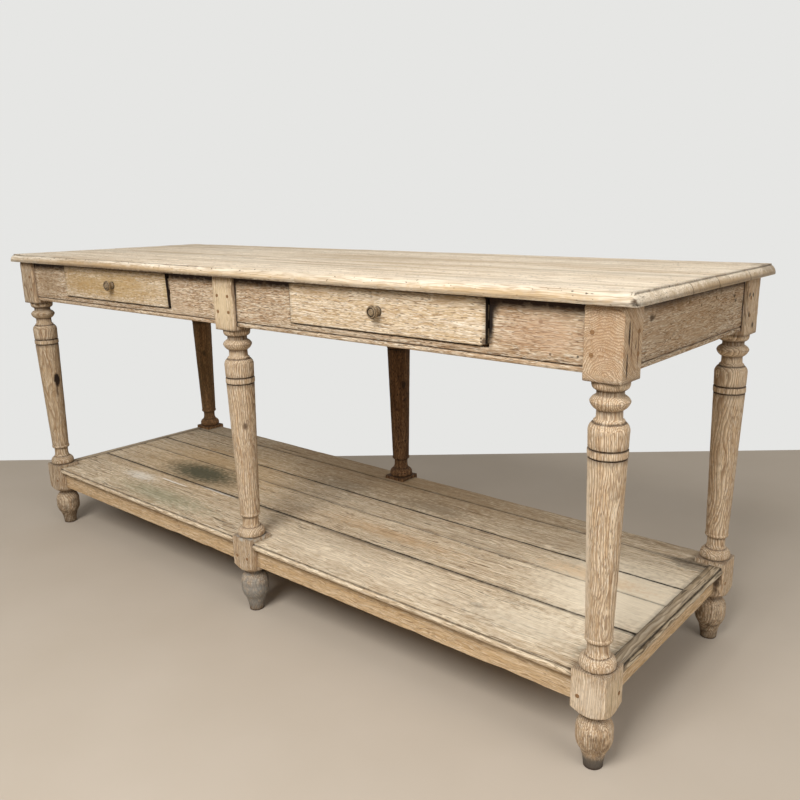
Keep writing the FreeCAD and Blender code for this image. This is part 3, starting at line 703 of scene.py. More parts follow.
LEG_OAK = OakFinish(
    name="oak_turned_legs", base="#e0caab", late="#6f4a26", grime="#2f1d0f", ring_mm=3.8,
    late_share=0.62, waver_mm=4.0,
    layers=(
        Marks(170, 8, 0.38, 0.62, 0.7, "#cfb08a", 3.0, 0.1),
        Marks(40, 1.5, 0.46, 0.62, 0.42, "#8f6b46", 1.0, 0.2),
        Marks(12, 1.25, 0.53, 0.65, 0.65, "#4d3016", 1.0, 0.5, 0.7),
        Marks(17, 1.4, 0.46, 0.34, 0.5, "#f8ecd8", 1.0, -0.2),
        Marks(120, 46, 0.52, 0.70, 0.35, "#e6d0b0", 2.0),
    ),
    stains_and_painted_light=(
        StainOrPaintedLight((0, -282, 56), (60, 60, 72), "#7b7e7c", 0.75, 0.4, 0.5),
        StainOrPaintedLight((0, -282, 85), (46, 46, 1.4), "#3a3128", 0.8, 0.2),
        StainOrPaintedLight((0, -282, 197), (46, 46, 8), "#c3c6c0", 0.7, 0.8),
        StainOrPaintedLight((-940, -282, 50), (46, 46, 66), "#5e4c36", 0.8, 0.6),
        StainOrPaintedLight((940, 282, 55), (46, 46, 70), "#4a3a27", 0.9, 0.7, 0.2),
        StainOrPaintedLight((955, 248, 160), (20, 5, 34), "#2f2013", 0.8, 0.5),
        StainOrPaintedLight((940, -282, 8), (46, 46, 36), "#5d5a54", 0.9, 0.3),
        StainOrPaintedLight((952, -300, 62), (30, 30, 36), "#5b452c", 0.55, 0.9),
        StainOrPaintedLight((974, -291, 150), (5, 2.5, 40), "#4a331c", 0.8, 0.4),
        StainOrPaintedLight((974, -268, 160), (5, 2.0, 30), "#4a331c", 0.7, 0.4),
        StainOrPaintedLight((974, -282, 770), (5, 60, 90), "#94704a", 0.45, 0.5, 0.1),
        StainOrPaintedLight((940, -317, 775), (60, 10, 90), "#a9794c", 0.35, 0.4, 0.2),
        StainOrPaintedLight((974, -282, 152), (6, 60, 60), "#ead3ac", 0.4, 0.5, 0.1),
        StainOrPaintedLight((0, -317, 770), (60, 8, 100), "#ecd6ae", 0.55, 0.4, 0.1),
        StainOrPaintedLight((-940, -282, 450), (60, 60, 320), "#a5875a", 0.3, 0.3, 0.1),
        # Painted highlight: the left front of the front right shaft is made paler, as if lit from the
        # left
        StainOrPaintedLight((914, -300, 420), (24, 30, 260), "#f7e8cf", 0.6, 0.3, 0.1),
        StainOrPaintedLight((940, -317, 150), (60, 10, 60), "#f0e0c8", 0.45, 0.5, 0.1),
        StainOrPaintedLight((974, -288, 775), (5, 2.6, 42), "#5f4023", 0.8, 0.4),
        StainOrPaintedLight((974, -264, 760), (5, 3.0, 50), "#5f4023", 0.7, 0.5),
        StainOrPaintedLight((-908, -280, 472), (12, 12, 26), "#24160a", 1.0, 0.3, 0.6),
        StainOrPaintedLight((-910, -284, 440), (8, 5, 34), "#3a2512", 0.7, 0.5),
        StainOrPaintedLight((24, -297, 484), (8, 8, 13), "#4a3018", 0.8, 0.4),
        StainOrPaintedLight((974, -297, 786), (5, 4, 24), "#2c1b0d", 0.95, 0.5),
        StainOrPaintedLight((974, -301, 740), (5, 3.5, 26), "#2c1b0d", 0.9, 0.5),
        StainOrPaintedLight((974, -273, 767), (5, 2.5, 9), "#2c1b0d", 0.8, 0.5),
        StainOrPaintedLight((974, 255, 795), (4, 5, 6), HOLE, 0.95, 0.2),
        StainOrPaintedLight((974, 276, 793), (4, 5, 6), HOLE, 0.95, 0.2),
        StainOrPaintedLight((974, 258, 755), (4, 5, 8), HOLE, 0.95, 0.2),
        StainOrPaintedLight((974, 286, 729), (4, 8, 9), HOLE, 0.9, 0.5),
    ),
)
# Two of the rear legs were never stripped: brown from old wax, with the pale wood showing in streaks.
# The finish is also darker as painted shade, for their place under the table.
BROWN_AND_SHADED_LEG_OAK = OakFinish(
    name="oak_turned_legs_unstripped_and_shaded", base="#8f6b48", late="#4b3018", grime="#1c1008", ring_mm=3.4,
    late_share=0.5,
    layers=(
        Marks(170, 8, 0.38, 0.62, 0.8, "#5f4227", 3.0, 0.1),
        Marks(42, 2.4, 0.46, 0.64, 0.5, "#4b3018", 1.0),
        Marks(9, 1.7, 0.48, 0.58, 0.9, "#2c1a0c", 1.0, 0.5, 0.5),
    ),
    stains_and_painted_light=(
        StainOrPaintedLight((-918, 266, 473), (9, 9, 14), "#20140a", 0.8, 0.4),
        StainOrPaintedLight((28, 270, 480), (9, 9, 14), "#20140a", 0.8, 0.4),
        StainOrPaintedLight((-940, 282, 470), (60, 60, 460), "#857350", 0.5, 0.3, 0.1),
    ),
)
RAIL_OAK = OakFinish(
    name="oak_planed_aprons", base="#e0cbae", late="#997551", grime="#2e1d12", ring_mm=3.6,
    late_share=0.35, waver_mm=4.0,
    layers=(
        Marks(190, 9, 0.38, 0.62, 0.7, "#c4a481", 3.0, 0.1),
        Marks(46, 1.6, 0.46, 0.60, 0.7, "#8b673e", 1.0, 0.2),
        Marks(11, 1.25, 0.51, 0.62, 0.8, "#4a2e16", 1.0, 0.5, 0.6),
        Marks(15, 1.4, 0.47, 0.35, 0.65, "#fbf0da", 1.0, -0.2),
        Marks(140, 50, 0.50, 0.70, 0.35, "#dcc6aa", 2.0),
    ),
    stains_and_painted_light=(
        StainOrPaintedLight((843, -307, 744), (3, 3, 3), HOLE, 0.9, 0.2),
        StainOrPaintedLight((893, -307, 745), (3, 3, 3), HOLE, 0.8, 0.2),
        StainOrPaintedLight((824, -307, 795), (6, 4, 5), "#6b4a30", 0.8, 0.4),
        StainOrPaintedLight((820, -307, 775), (110, 6, 40), "#bd9878", 0.45, 0.6),
        StainOrPaintedLight((965, 191, 798), (5, 6, 5), HOLE, 0.9, 0.3),
        StainOrPaintedLight((965, 199, 789), (5, 6, 5), HOLE, 0.9, 0.3),
        StainOrPaintedLight((965, 90, 805), (4, 4, 4), HOLE, 0.8, 0.3),
        StainOrPaintedLight((965, -42, 809), (4, 4, 4), HOLE, 0.8, 0.3),
        StainOrPaintedLight((965, 17, 798), (4, 4, 4), HOLE, 0.8, 0.3),
        StainOrPaintedLight((965, -197, 800), (8, 14, 9), "#2f1e10", 0.85, 0.7),
        StainOrPaintedLight((965, -120, 815), (8, 110, 16), "#6b5136", 0.6, 0.8),
        StainOrPaintedLight((965, 0, 776), (8, 330, 90), "#9c7a4e", 0.3, 0.4, 0.1),
        StainOrPaintedLight((968, 245, 776), (8, 6, 64), "#22150a", 0.95, 0.15),
        # Painted shadow of the top's overhang along the upper band of the right front apron
        StainOrPaintedLight((600, -307, 828), (360, 6, 30), "#85603f", 0.6, 0.3, 0.0),
        # Painted shade: the left end of the left front apron is darkened
        StainOrPaintedLight((-830, -307, 775), (110, 6, 70), "#8d6f49", 0.45, 0.4, 0.1),
        StainOrPaintedLight((36, -307, 812), (6, 6, 56), "#140c06", 1.0, 0.1, 0.3),
        # Painted shadow on the apron beside the right drawer's gap, cast by the proud drawer and the top:
        # wide at the top, narrow below
        StainOrPaintedLight((726, -307, 824), (24, 6, 44), "#140b05", 1.0, 0.1, 0.3),
        StainOrPaintedLight((725, -307, 790), (10, 6, 62), "#1a0f07", 1.0, 0.1, 0.3),
    ),
)
SHELF_OAK = OakFinish(
    name="oak_worn_shelf", base="#e9d7b9", late="#8f704a", grime="#1f160d",
    layers=(
        Marks(260, 13, 0.40, 0.62, 0.7, "#c9b292", 3.0, 0.15),
        Marks(80, 2.8, 0.46, 0.62, 0.45, "#987854", 1.0, 0.2),
        Marks(24, 1.8, 0.53, 0.64, 0.55, "#5d452e", 1.0, 0.4, 0.5),
        Marks(24, 1.8, 0.46, 0.34, 0.45, "#f6ead6", 1.0, -0.2),
        Marks(260, 4, 0.65, 0.71, 0.8, "#3f2f1f", 1.0, 0.8),
        Marks(330, 70, 0.44, 0.68, 0.3, "#a2937c", 3.0),
    ),
    stains_and_painted_light=(
        StainOrPaintedLight((-520, 0, 192), (520, 290, 30), "#c69c5c", 0.35, 0.5, 0.1),
        StainOrPaintedLight((-505, -60, 192), (240, 96, 30), "#3a3e2b", 0.9, 0.4, 0.2),
        StainOrPaintedLight((-430, -250, 192), (330, 66, 30), "#7f8569", 0.6, 0.5, 0.0),
        StainOrPaintedLight((-640, -190, 192), (110, 36, 30), "#f2ecdf", 0.6, 0.9, 0.2),
        StainOrPaintedLight((-510, -164, 192), (90, 5, 30), "#f6f0e4", 0.8, 0.5),
        StainOrPaintedLight((-340, -137, 192), (110, 5, 30), "#f6f0e4", 0.8, 0.4),
        StainOrPaintedLight((-80, 130, 192), (190, 55, 30), "#857a68", 0.45, 0.8, 0.2),
        StainOrPaintedLight((230, 145, 192), (170, 60, 30), "#857a68", 0.45, 0.8, 0.2),
        StainOrPaintedLight((250, -140, 192), (230, 12, 30), "#7a6850", 0.55, 0.7),
        StainOrPaintedLight((640, -222, 192), (26, 12, 30), "#6d5c48", 0.7, 0.6),
        StainOrPaintedLight((900, -240, 192), (34, 34, 30), "#54452f", 0.6, 0.7),
        StainOrPaintedLight((905, 225, 192), (60, 40, 30), "#4b4034", 0.65, 0.8),
        # Painted light: the right end of the shelf is made paler, as if better lit
        StainOrPaintedLight((860, 0, 192), (300, 260, 30), "#f5e7cd", 0.75, 0.4, 0.2),
        StainOrPaintedLight((0, 280, 192), (980, 240, 30), "#87693f", 0.6, 0.5, 0.1),
        StainOrPaintedLight((300, -230, 192), (620, 110, 30), "#f0e2ca", 0.3, 0.6, 0.1),
        StainOrPaintedLight((770, -225, 192), (200, 90, 30), "#f3e6cd", 0.5, 0.5, 0.1),
        StainOrPaintedLight((760, 40, 192), (190, 44, 30), "#cfa878", 0.5, 0.7, 0.1),
        StainOrPaintedLight((250, -60, 192), (330, 40, 30), "#c9a070", 0.4, 0.7, 0.1),
    ),
)
STRETCHER_OAK = replace(
    SHELF_OAK, name="oak_planed_stretchers", base="#d6ba94", late_share=0.2,
    layers=(
        Marks(260, 10, 0.40, 0.62, 0.65, "#c3a276", 3.0, 0.15),
        Marks(90, 2.2, 0.46, 0.62, 0.4, "#9b784f", 1.0, 0.2),
        Marks(26, 1.5, 0.54, 0.64, 0.5, "#6b4d30", 1.0, 0.4, 0.5),
        Marks(30, 1.6, 0.46, 0.34, 0.4, "#f3e4cb", 1.0, -0.2),
    ),
    stains_and_painted_light=(),
)
CAP_OAK = OakFinish(
    name="oak_weathered_end_caps", base="#c6b499", late="#6a563d", grime="#18110b", ring_mm=6.0,
    late_share=0.6,
    layers=(
        Marks(150, 5, 0.40, 0.60, 0.8, "#9c886b", 3.0, 0.2),
        Marks(260, 3.4, 0.57, 0.64, 0.65, "#33271b", 1.5, 0.8),
        Marks(200, 30, 0.45, 0.68, 0.3, "#857f75", 3.0),
    ),
)
DRAWER_OAK = OakFinish(
    name="oak_planed_drawer_fronts", base="#ecdbc0", late="#a78358", grime="#22160b", ring_mm=4.2,
    late_share=0.35, waver_mm=4.0,
    layers=(
        Marks(220, 9, 0.38, 0.62, 0.65, "#d0b58c", 3.0, 0.1),
        Marks(50, 1.7, 0.46, 0.62, 0.55, "#9d7848", 1.0, 0.2),
        Marks(12, 1.35, 0.52, 0.64, 0.7, "#5d3f21", 1.0, 0.5, 0.6),
        Marks(15, 1.5, 0.46, 0.34, 0.6, "#fdf4e4", 1.0, -0.2),
    ),
    stains_and_painted_light=(
        StainOrPaintedLight((709, -312, 757.5), (2.5, 3, 2.5), HOLE, 0.95, 0.1),
        StainOrPaintedLight((709, -312, 751.5), (2.5, 3, 2.5), HOLE, 0.95, 0.1),
        StainOrPaintedLight((716, -312, 752), (8, 6, 9), "#4b331d", 0.8, 0.5),
        StainOrPaintedLight((-640, -312, 787), (110, 6, 40), "#b08f5f", 0.45, 0.7),
        StainOrPaintedLight((-232, -312, 790), (16, 6, 40), "#a9935f", 0.4, 0.6),
        StainOrPaintedLight((-470, -312, 787), (300, 6, 60), "#b6914f", 0.55, 0.4, 0.1),
    ),
)
KNOB_OAK = OakFinish(
    name="oak_turned_knobs", base="#937e60", late="#5c462d", grime="#1d130a", ring_mm=3.0,
    roughness=0.5,
    layers=(
        Marks(40, 3, 0.40, 0.60, 0.7, "#96836a", 2.0),
        Marks(8, 1.6, 0.52, 0.62, 0.6, "#57452f", 1.0, 0.3),
    ),
)
PEG_OAK = OakFinish(
    name="oak_riven_pegs", base="#94714d", late="#5f4228", ring_mm=2.5,
    layers=(Marks(10, 1.6, 0.50, 0.62, 0.6, "#6b4e32", 1.0, 0.2),),
)
LINING_OAK = OakFinish(
    name="oak_drawer_lining", base="#cdb797", late="#a3855f",
    layers=(
        Marks(220, 9, 0.38, 0.62, 0.7, "#b89d7b", 3.0, 0.1),
        Marks(14, 1.8, 0.52, 0.62, 0.6, "#7d6144", 1.0, 0.3),
    ),
    stains_and_painted_light=(
        # Painted shade: the drawer sides are near black just behind the gaps at the drawers' right ends
        StainOrPaintedLight((-222, -285, 787), (12, 30, 60), "#1c120a", 0.9, 0.2),
        StainOrPaintedLight((718, -285, 787), (12, 30, 60), "#1c120a", 0.9, 0.2),
    ),
)


@dataclass
class Leg:
    """One turned leg with two square blocks."""

    name: str
    x: float
    y: float
    timber: Timber
    seed: int
    half_block: float = HALF_BLOCK
    # Greatest radius of a block's worn corners, and radius of the arrises at its ends
    corner: float = 3.4
    arris: float = 1.2
    # Longest steps of the lathed profile on curves and on the shaft
    curve_step: float = 1.6
    shaft_step: float = 10.0
    # Mean depth of wear all round, and how far it varies
    wear: float = 0.18
    wear_spread: float = 0.16
    # The lower block's corners are turned off to a cone: radius at its foot, and growth for each mm up
    cone: Pair = (26.0, 23 / 16)
    # Radius, height, and bow of the line to the next point
    foot: tuple[Triple, ...] = (
        (17, 0, 0), (18, 1, -1.4), (25, 36, 3.6), (33.4, 70, 5.2), (20.5, 103, 0), (20.5, 110, 0),
    )
    turning: tuple[Triple, ...] = (
        (28.5, 200, 1.3), (33, 207.5, 3.0), (22.8, 223.3, 0), (21.9, 223.6, 0), (22.1, 226, 0.15),
        (21.4, 226.6, -0.6), (19.5, 238.3, 0), (19.5, 251.2, 0), (23, 251.6, 1.95), (23.9, 260, 0),
        (24, 260.4, 0), (32.6, 581.2, 0), (32.3, 581.6, 0), (29.6, 581.9, 0), (29.6, 584.2, 0),
        (33.3, 584.5, 0), (33.6, 585.2, 0.15), (33.6, 595.8, 0), (33.3, 596.5, 0), (30, 596.8, 0),
        (30, 599.2, 0), (32.7, 599.6, 0), (33, 600.4, 0), (33.6, 624, 2.2), (28, 640.6, 0),
        (26.2, 641, 0), (25.7, 641.8, 0), (25.6, 644.4, 0.1), (24.9, 645.2, -0.4), (21.7, 648.4, 0),
        (21.4, 655, 0), (21.5, 661.4, 0), (21.8, 661.8, 1.7), (32.7, 674.3, 0.25), (32.8, 676.8, 1.4),
        (22.7, 686, 0), (22.5, 686.4, 0), (22.5, 690.3, 0), (22.5, 694.2, 0), (24.6, 694.6, 1.4),
        (30.6, 702.2, 0.2), (31, 705, 0), (31, 710, 0),
    )
    # Dark bands: height, half width and share. The two grooves (583, 598) hold grime; the other bands,
    # under the blocks, the rings, the lip and the astragal, in the throats, and under the top (832), are
    # painted shade where the leg's own overhangs and the top shadow it; the band at the floor (0) darkens
    # the foot's end.
    grime_and_shade_bands: tuple[Triple, ...] = (
        (583.0, 1.8, 1.3), (598.0, 1.8, 1.3), (223.6, 1.0, 0.5), (250.5, 2.4, 0.6), (201.0, 2.0, 0.6),
        (106.0, 6.0, 0.6), (641.2, 1.2, 0.9), (660.0, 3.4, 0.75), (693.0, 4.2, 0.9), (687.0, 1.5, 0.5),
        (709.0, 3.0, 0.8), (675.6, 0.8, 0.4), (0.0, 3.0, 0.6), (832.0, 5.0, 0.7),
    )

    def turns(self) -> Array:
        """Angles round the leg: even steps across each flat of a block, close steps over each corner."""
        flat = np.arctan(np.linspace(-1, 1, 19) * (self.half_block - self.corner) / self.half_block)
        corner = np.linspace(flat[-1], np.pi / 2 + flat[0], 8)[1:-1]
        quarter = np.concatenate([flat, corner])
        return (quarter[None, :] + np.arange(4)[:, None] * np.pi / 2).ravel()

    def block(self, turns: Array, heights: Array, coned: bool) -> Array:
        """Radii of a square block with worn arrises.

        On a flat the radius is the half width over the cosine of the angle from the flat's middle. At a
        corner it is the far crossing of the ray with the corner's circle.

        Args:
            turns: Angles round the leg, of shape (n,).
            heights: Levels of the rows, of shape (m,).
            coned: Whether the lower corners are turned off to a cone.

        Returns:
            Radii, of shape (m, n).
        """
        low, high = heights.min(), heights.max()
        gap = high - heights if coned else np.minimum(heights - low, high - heights)
        share = 1 - np.clip(gap / self.arris, 0, 1)
        inset = self.arris * (1 - np.sqrt(np.clip(1 - share**2, 0, None)))
        half = (self.half_block - inset)[:, None]
        worn = 2.4 + 0.9 * ripple(turned(30.0, turns, heights), self.seed, 90, 9)
        corner = np.clip(worn, 1.0, self.corner)
        fold = np.abs((turns + np.pi / 4) % (np.pi / 2) - np.pi / 4)[None, :]
        inner = half - corner
        under = np.clip(corner**2 - (inner * (np.cos(fold) - np.sin(fold))) ** 2, 0, None)
        rounded = inner * (np.cos(fold) + np.sin(fold)) + np.sqrt(under)
        radii = np.where(fold > np.arctan(inner / half), rounded, half / np.cos(fold))
        foot, slope = self.cone
        return np.minimum(radii, (foot + (heights - low) * slope)[:, None]) if coned else radii

    def build(self, oak: Material) -> None:
        """Builds the leg as one grid, radius by angle and height.

        Args:
            oak: Its finish.
        """
        turns = self.turns()
        parts = []
        for profile, levels in ((self.foot, LOWER_ROWS), (self.turning, UPPER_ROWS)):
            lathed = lathe(profile, self.curve_step, self.shaft_step)
            parts.append((np.repeat(lathed[:, :1], len(turns), axis=1), lathed[:, 1]))
            parts.append((self.block(turns, levels, levels is LOWER_ROWS), levels))
        radii, heights = (np.concatenate(column) for column in zip(*parts))
        wave = ripple(turned(40.0, turns, heights), self.seed + 1, 160, 14)
        radii = radii - self.wear - self.wear_spread * wave
        points = turned(radii, turns, heights) + np.array([self.x, self.y, 0.0])
        level = sum(share * bell(heights, height, width) for height, width, share in self.grime_and_shade_bands)
        # Darker towards the floor over the lowest 34 mm
        level = level + 0.6 * ease(heights, 34, 0)
        skin = Skin(points, np.broadcast_to(level[:, None], radii.shape), ringed=True)
        Dressing(oak, "leg_oak").put_on(self.name, f"{self.name}_turned", [skin], self.timber)


@dataclass
class Top:
    """The plank top with its moulded edge."""

    half_length: float = 1000.0
    half_depth: float = 332.5
    foot: float = UNDER_TOP
    head: float = 854.0
    inset: float = 9.0
    step: float = 3.0
    # The lower arris of the edge is worn to this height, and the corners to this radius
    arris: float = 1.6
    corner: float = 8.0
    # Depth of the chip in the front right corner, and its reach along x and y
    chip: Triple = (4.0, 9.0, 7.0)
    # Width of a seam, and how deep and how far from it the boards are eased
    seam: float = 0.6
    seam_ease: Pair = (1.3, 2.2)
    # How far in from the edge knocks reach
    knock: float = 12.0
    seams: tuple[float, ...] = (-332.5, -118.5, 4.5, 169.5, 332.5)
    # Name, pith and tone of each board, from the front
    boards: tuple[tuple[str, Pair, float], ...] = (
        ("front", (-300, 780), 0.12),
        ("second", (-60, 930), -0.05),
        ("third", (120, 760), 0.06),
        ("rear", (330, 900), -0.1),
    )

    @property
    def rise(self) -> float:
        """Height of the rounded part of the edge."""
        return self.head - self.step - self.foot - self.arris

    @property
    def radius(self) -> float:
        """Radius of the round, which starts upright and passes through the foot of the step."""
        return (self.inset**2 + self.rise**2) / (2 * self.inset)

    def edge(self, depth: Array) -> tuple[Array, Array]:
        """Heights of the upper and lower surface, by distance in from the edge.

        The upper surface follows a circle that starts upright at the edge, then steps up to the flat.
        The lower surface is flat, with a worn arris.

        Args:
            depth: Distance in from the edge in mm.

        Returns:
            Upper and lower heights in mm.
        """
        inward = self.radius - np.clip(depth, 0, self.inset)
        tip = self.foot + self.arris
        upper = tip + np.sqrt(np.clip(self.radius**2 - inward**2, 0, None))
        upper = upper + self.step * ease(depth, self.inset, self.inset + 1.0)
        return upper, self.foot + self.arris * (1 - ease(depth, 0, 0.8))

    def grid(self, number: int) -> tuple[Array, Array]:
        """Grid lines of one board along x and y, close together at the moulding and the seams.

        Args:
            number: Place of the board, from the front.

        Returns:
            Places along x and places along y.
        """
        swing = math.asin(self.rise / self.radius)
        arc = self.radius * (1 - np.cos(np.linspace(0, swing, 10)))
        beyond = self.inset + np.array([0.3, 0.6, 1, 2, 4.4, 5.2, 6, 9])
        offsets = np.unique(np.concatenate([arc, [0.4, 0.8], beyond]))
        inner = self.half_length - offsets[-1]
        middle = np.arange(-inner + 5, inner - 3, 5)
        x = np.concatenate([-self.half_length + offsets, middle, (self.half_length - offsets)[::-1]])
        seam_lines = np.array([0, 0.4, 1.0, 2.0, 4.0]) + self.seam / 2
        near = self.seams[number] + (offsets if number == 0 else seam_lines)
        far = self.seams[number + 1] - (offsets if number == len(self.boards) - 1 else seam_lines)
        return x, np.concatenate([near, np.arange(near[-1] + 10, far[-1] - 6, 14), far[::-1]])

    def board(self, number: int) -> list[Skin]:
        """Upper and lower sheets of one board over a grid of x and y, and a strip at each seam.

        Points outside a worn corner are drawn in to its circle. Knocks push the edge in, a hollow wears
        the flat down, and each seam is eased by a parabola.

        Args:
            number: Place of the board, from the front.

        Returns:
            The skins of the board.
        """
        x, y = self.grid(number)
        grid_x, grid_y = np.meshgrid(x, y)
        first, last = number == 0, number == len(self.boards) - 1
        end, side = self.half_length - np.abs(grid_x), self.half_depth - np.abs(grid_y)
        out_x, out_y = np.clip(self.corner - end, 0, None), np.clip(self.corner - side, 0, None)
        reach = np.hypot(out_x, out_y)
        draw = np.minimum(1, self.corner / np.maximum(reach, 1e-6))
        depth = np.where((out_x > 0) & (out_y > 0), self.corner - reach * draw, np.minimum(end, side))
        upper, lower = self.edge(depth)
        # The long edges are rubbed down, so their step is rounded over
        rubbed = ease(end, 20, 90) * (side < 24)
        upper = upper - rubbed * self.step * (ease(side, self.inset, self.inset + 1) - ease(side, 4, 15))
        near = np.full_like(grid_y, np.inf) if first else grid_y - y[0]
        far = np.full_like(grid_y, np.inf) if last else y[-1] - grid_y
        seam = np.minimum(near, far)
        flat = np.stack([grid_x, grid_y], axis=-1)
        hollow = np.clip(0.4 + 0.25 * ripple(flat, Seed.TOP + number, 700, 60), 0, None)
        drop, near_seam = self.seam_ease
        upper = upper - drop * (1 - np.clip(seam / near_seam, 0, 1)) ** 2 - hollow * ease(depth, 0.5, 10)
        worn = dents(grid_x, Seed.TOP_EDGE + (not first), 34, 16, 1.4)
        worn = worn * np.clip(1 - side / self.knock, 0, 1)
        worn_end = dents(grid_y, Seed.TOP_END, 60, 14, 1.4) * np.clip(1 - end / self.knock, 0, 1)
        deep, wide_x, wide_y = self.chip
        chip = deep * np.exp(-((end / wide_x) ** 2 + (side / wide_y) ** 2)) * (grid_x > 0) * (grid_y < 0)
        moved_x = grid_x + np.sign(grid_x) * (out_x * (draw - 1) * (out_y > 0) - worn_end - 0.5 * chip)
        moved_y = grid_y + np.sign(grid_y) * (out_y * (draw - 1) * (out_x > 0) - worn - chip)
        top = np.stack([moved_x, moved_y, upper], axis=-1)
        under = np.stack([moved_x, moved_y, lower], axis=-1)
        lines = 0.75 * bell(end, self.inset, 0.8) + 0.8 * bell(end, self.inset + 5.2, 0.6)
        front_line = (0.2 + 0.5 * ease(grid_x, 300, -300)) * bell(side, self.inset, 0.9)
        darkness = lines * (side > 7) + front_line + 0.5 * bell(depth, 0, 0.6)
        darkness = darkness + 0.8 * np.clip(1 - seam / 1.2, 0, 1) + 0.5 * np.clip(chip / 3, 0, 1)
        skins = [Skin(top, darkness), Skin(under, np.full_like(darkness, 0.25))]
        for row, inside in ((0, not first), (-1, not last)):
            if inside:
                skins.append(Skin(np.stack([top[row], under[row]]), np.full((2, len(x)), 0.8)))
        return skins

    def build(self, oak: Material) -> None:
        """Builds the boards.

        Args:
            oak: Their finish.
        """
        for number, (name, pith, tone) in enumerate(self.boards):
            timber = Timber(Axis.X, pith, 977.0 * number, tone)
            skins = self.board(number)
            Dressing(oak, "top_oak").put_on(f"top_{name}_board", f"top_{name}_scrubbed", skins, timber)


@dataclass(frozen=True)
class Apron:
    """A board between two upper leg blocks, with a bead along its foot and maybe a notch for a drawer."""

    name: str
    # Where the outer face lies, and the direction from it to the inner face
    face: float
    inward: int
    bay: Pair
    axis: Axis
    pith: Pair
    tone: float
    # How dark the joint is at each end
    gaps: Pair = (0.5, 0.5)
    # Middle of the notch
    notch: float | None = None
    foot: float = 720.0
    head: float = UNDER_TOP
    thickness: float = 22.0
    bead: float = 9.5
    quirk: float = 2.0
    quirk_depth: float = 3.0
    notch_foot: float = 742.0
    notch_half: float = 253.5

    def section(self) -> Array:
        """Closed section across and up: a half-round bead, a quirk, then the flat face up to the top."""
        swing = np.linspace(0, np.pi, 9)
        bead_in = self.quirk_depth * (1 - np.sin(swing))
        bead_up = self.foot + self.bead * (1 - np.cos(swing)) / 2
        depth = np.r_[bead_in, self.quirk_depth, 0.5, 0, 0, self.thickness, self.thickness]
        top = self.foot + self.bead + self.quirk
        up = np.r_[bead_up, top - 0.4, top, top + 0.6, self.head, self.head, self.foot]
        return densify(np.stack([self.face + self.inward * depth, up], axis=1), 12.0)

    def stops(self) -> tuple[Array, Array]:
        """Stations along the board, two at each edge of the notch, and how high it reaches at each."""
        low, high = self.bay
        close = (low + 3, low + 6, high - 6, high - 3)
        if self.notch is None:
            along = stations(low, high, BOARD_STEP, close)
            return along, np.full(len(along), self.head)
        edges = (self.notch - self.notch_half, self.notch + self.notch_half)
        along = stations(low, high, BOARD_STEP, (*close, *edges))
        first, last = np.searchsorted(along, edges)
        limit = np.full(len(along) + 2, self.head)
        limit[first + 1 : last + 2] = self.notch_foot
        return np.insert(along, (first, last), edges), limit

    def build(self, oak: Material, number: int) -> None:
        """Carries the section from end to end, with its upper points brought down in the notch.

        Args:
            oak: Its finish.
            number: Its place in the list, for its seeds.
        """
        along, limit = self.stops()
        points = carry(self.section(), along, self.axis)
        wave = 0.25 * ripple(points, Seed.APRON + number, 500, 40)
        across = points[..., self.axis.value[1]]
        across -= np.sign(across - across.mean()) * (0.3 + wave)
        heights = np.minimum(points[..., 2], limit[:, None])
        points[..., 2] = heights
        quirk = self.foot + self.bead + self.quirk / 2
        # Grime in the quirk; the upper 18 mm is painted dark as the shadow of the top's overhang
        darkness = bell(heights, quirk, 1.3) + 1.7 * ease(heights, 814, 827)
        run = points[..., self.axis.value[0]]
        low, high = (gap * bell(run, end, 5) for gap, end in zip(self.gaps, self.bay))
        skin = Skin(points, darkness + np.maximum(low, high), ringed=True)
        timber = Timber(self.axis, self.pith, 611.0 * number, self.tone)
        name = f"{self.name}_apron"
        Dressing(oak, "rail_oak").put_on(name, f"{name}_beaded", [skin], timber)


@dataclass(frozen=True)
class Stretcher:
    """A plain board under the shelf, between two lower leg blocks."""

    name: str
    # Middle of its thickness
    middle: float
    bay: Pair
    axis: Axis
    pith: Pair
    foot: float = 125.0
    head: float = 175.0
    half_thickness: float = 11.0
    arris: float = 1.6
    section_step: float = 8.0

    def build(self, oak: Material, number: int) -> None:
        """Carries an eased section from block to block.

        Args:
            oak: Its finish.
            number: Its place in the list, for its seeds.
        """
        low, high = self.middle - self.half_thickness, self.middle + self.half_thickness
        section = eased_box((low, self.foot), (high, self.head), self.arris, self.section_step)
        points = carry(section, stations(*self.bay, BOARD_STEP), self.axis)
        wave = 0.2 * ripple(points, Seed.STRETCHER + number, 400, 30)
        across = points[..., self.axis.value[1]]
        across -= np.sign(across - self.middle) * (0.2 + wave)
        run, up = points[..., self.axis.value[0]], points[..., 2]
        up += dents(run, Seed.STRETCHER_EDGE + number, 70, 22, 1.6) * (up < self.foot + 2)
        joints = np.maximum(bell(run, self.bay[0], 6), bell(run, self.bay[1], 6))
        # The upper 19 mm is painted dark as the shadow of the shelf's nosing; the joints at the ends are
        # dark
        skin = Skin(points, 0.7 * ease(up, 156, 175) + 0.35 * joints, ringed=True)
        timber = Timber(self.axis, self.pith, 433.0 * number, 0.05)
        name = f"{self.name}_stretcher"
        Dressing(oak, "rail_oak").put_on(name, f"{name}_planed", [skin], timber)


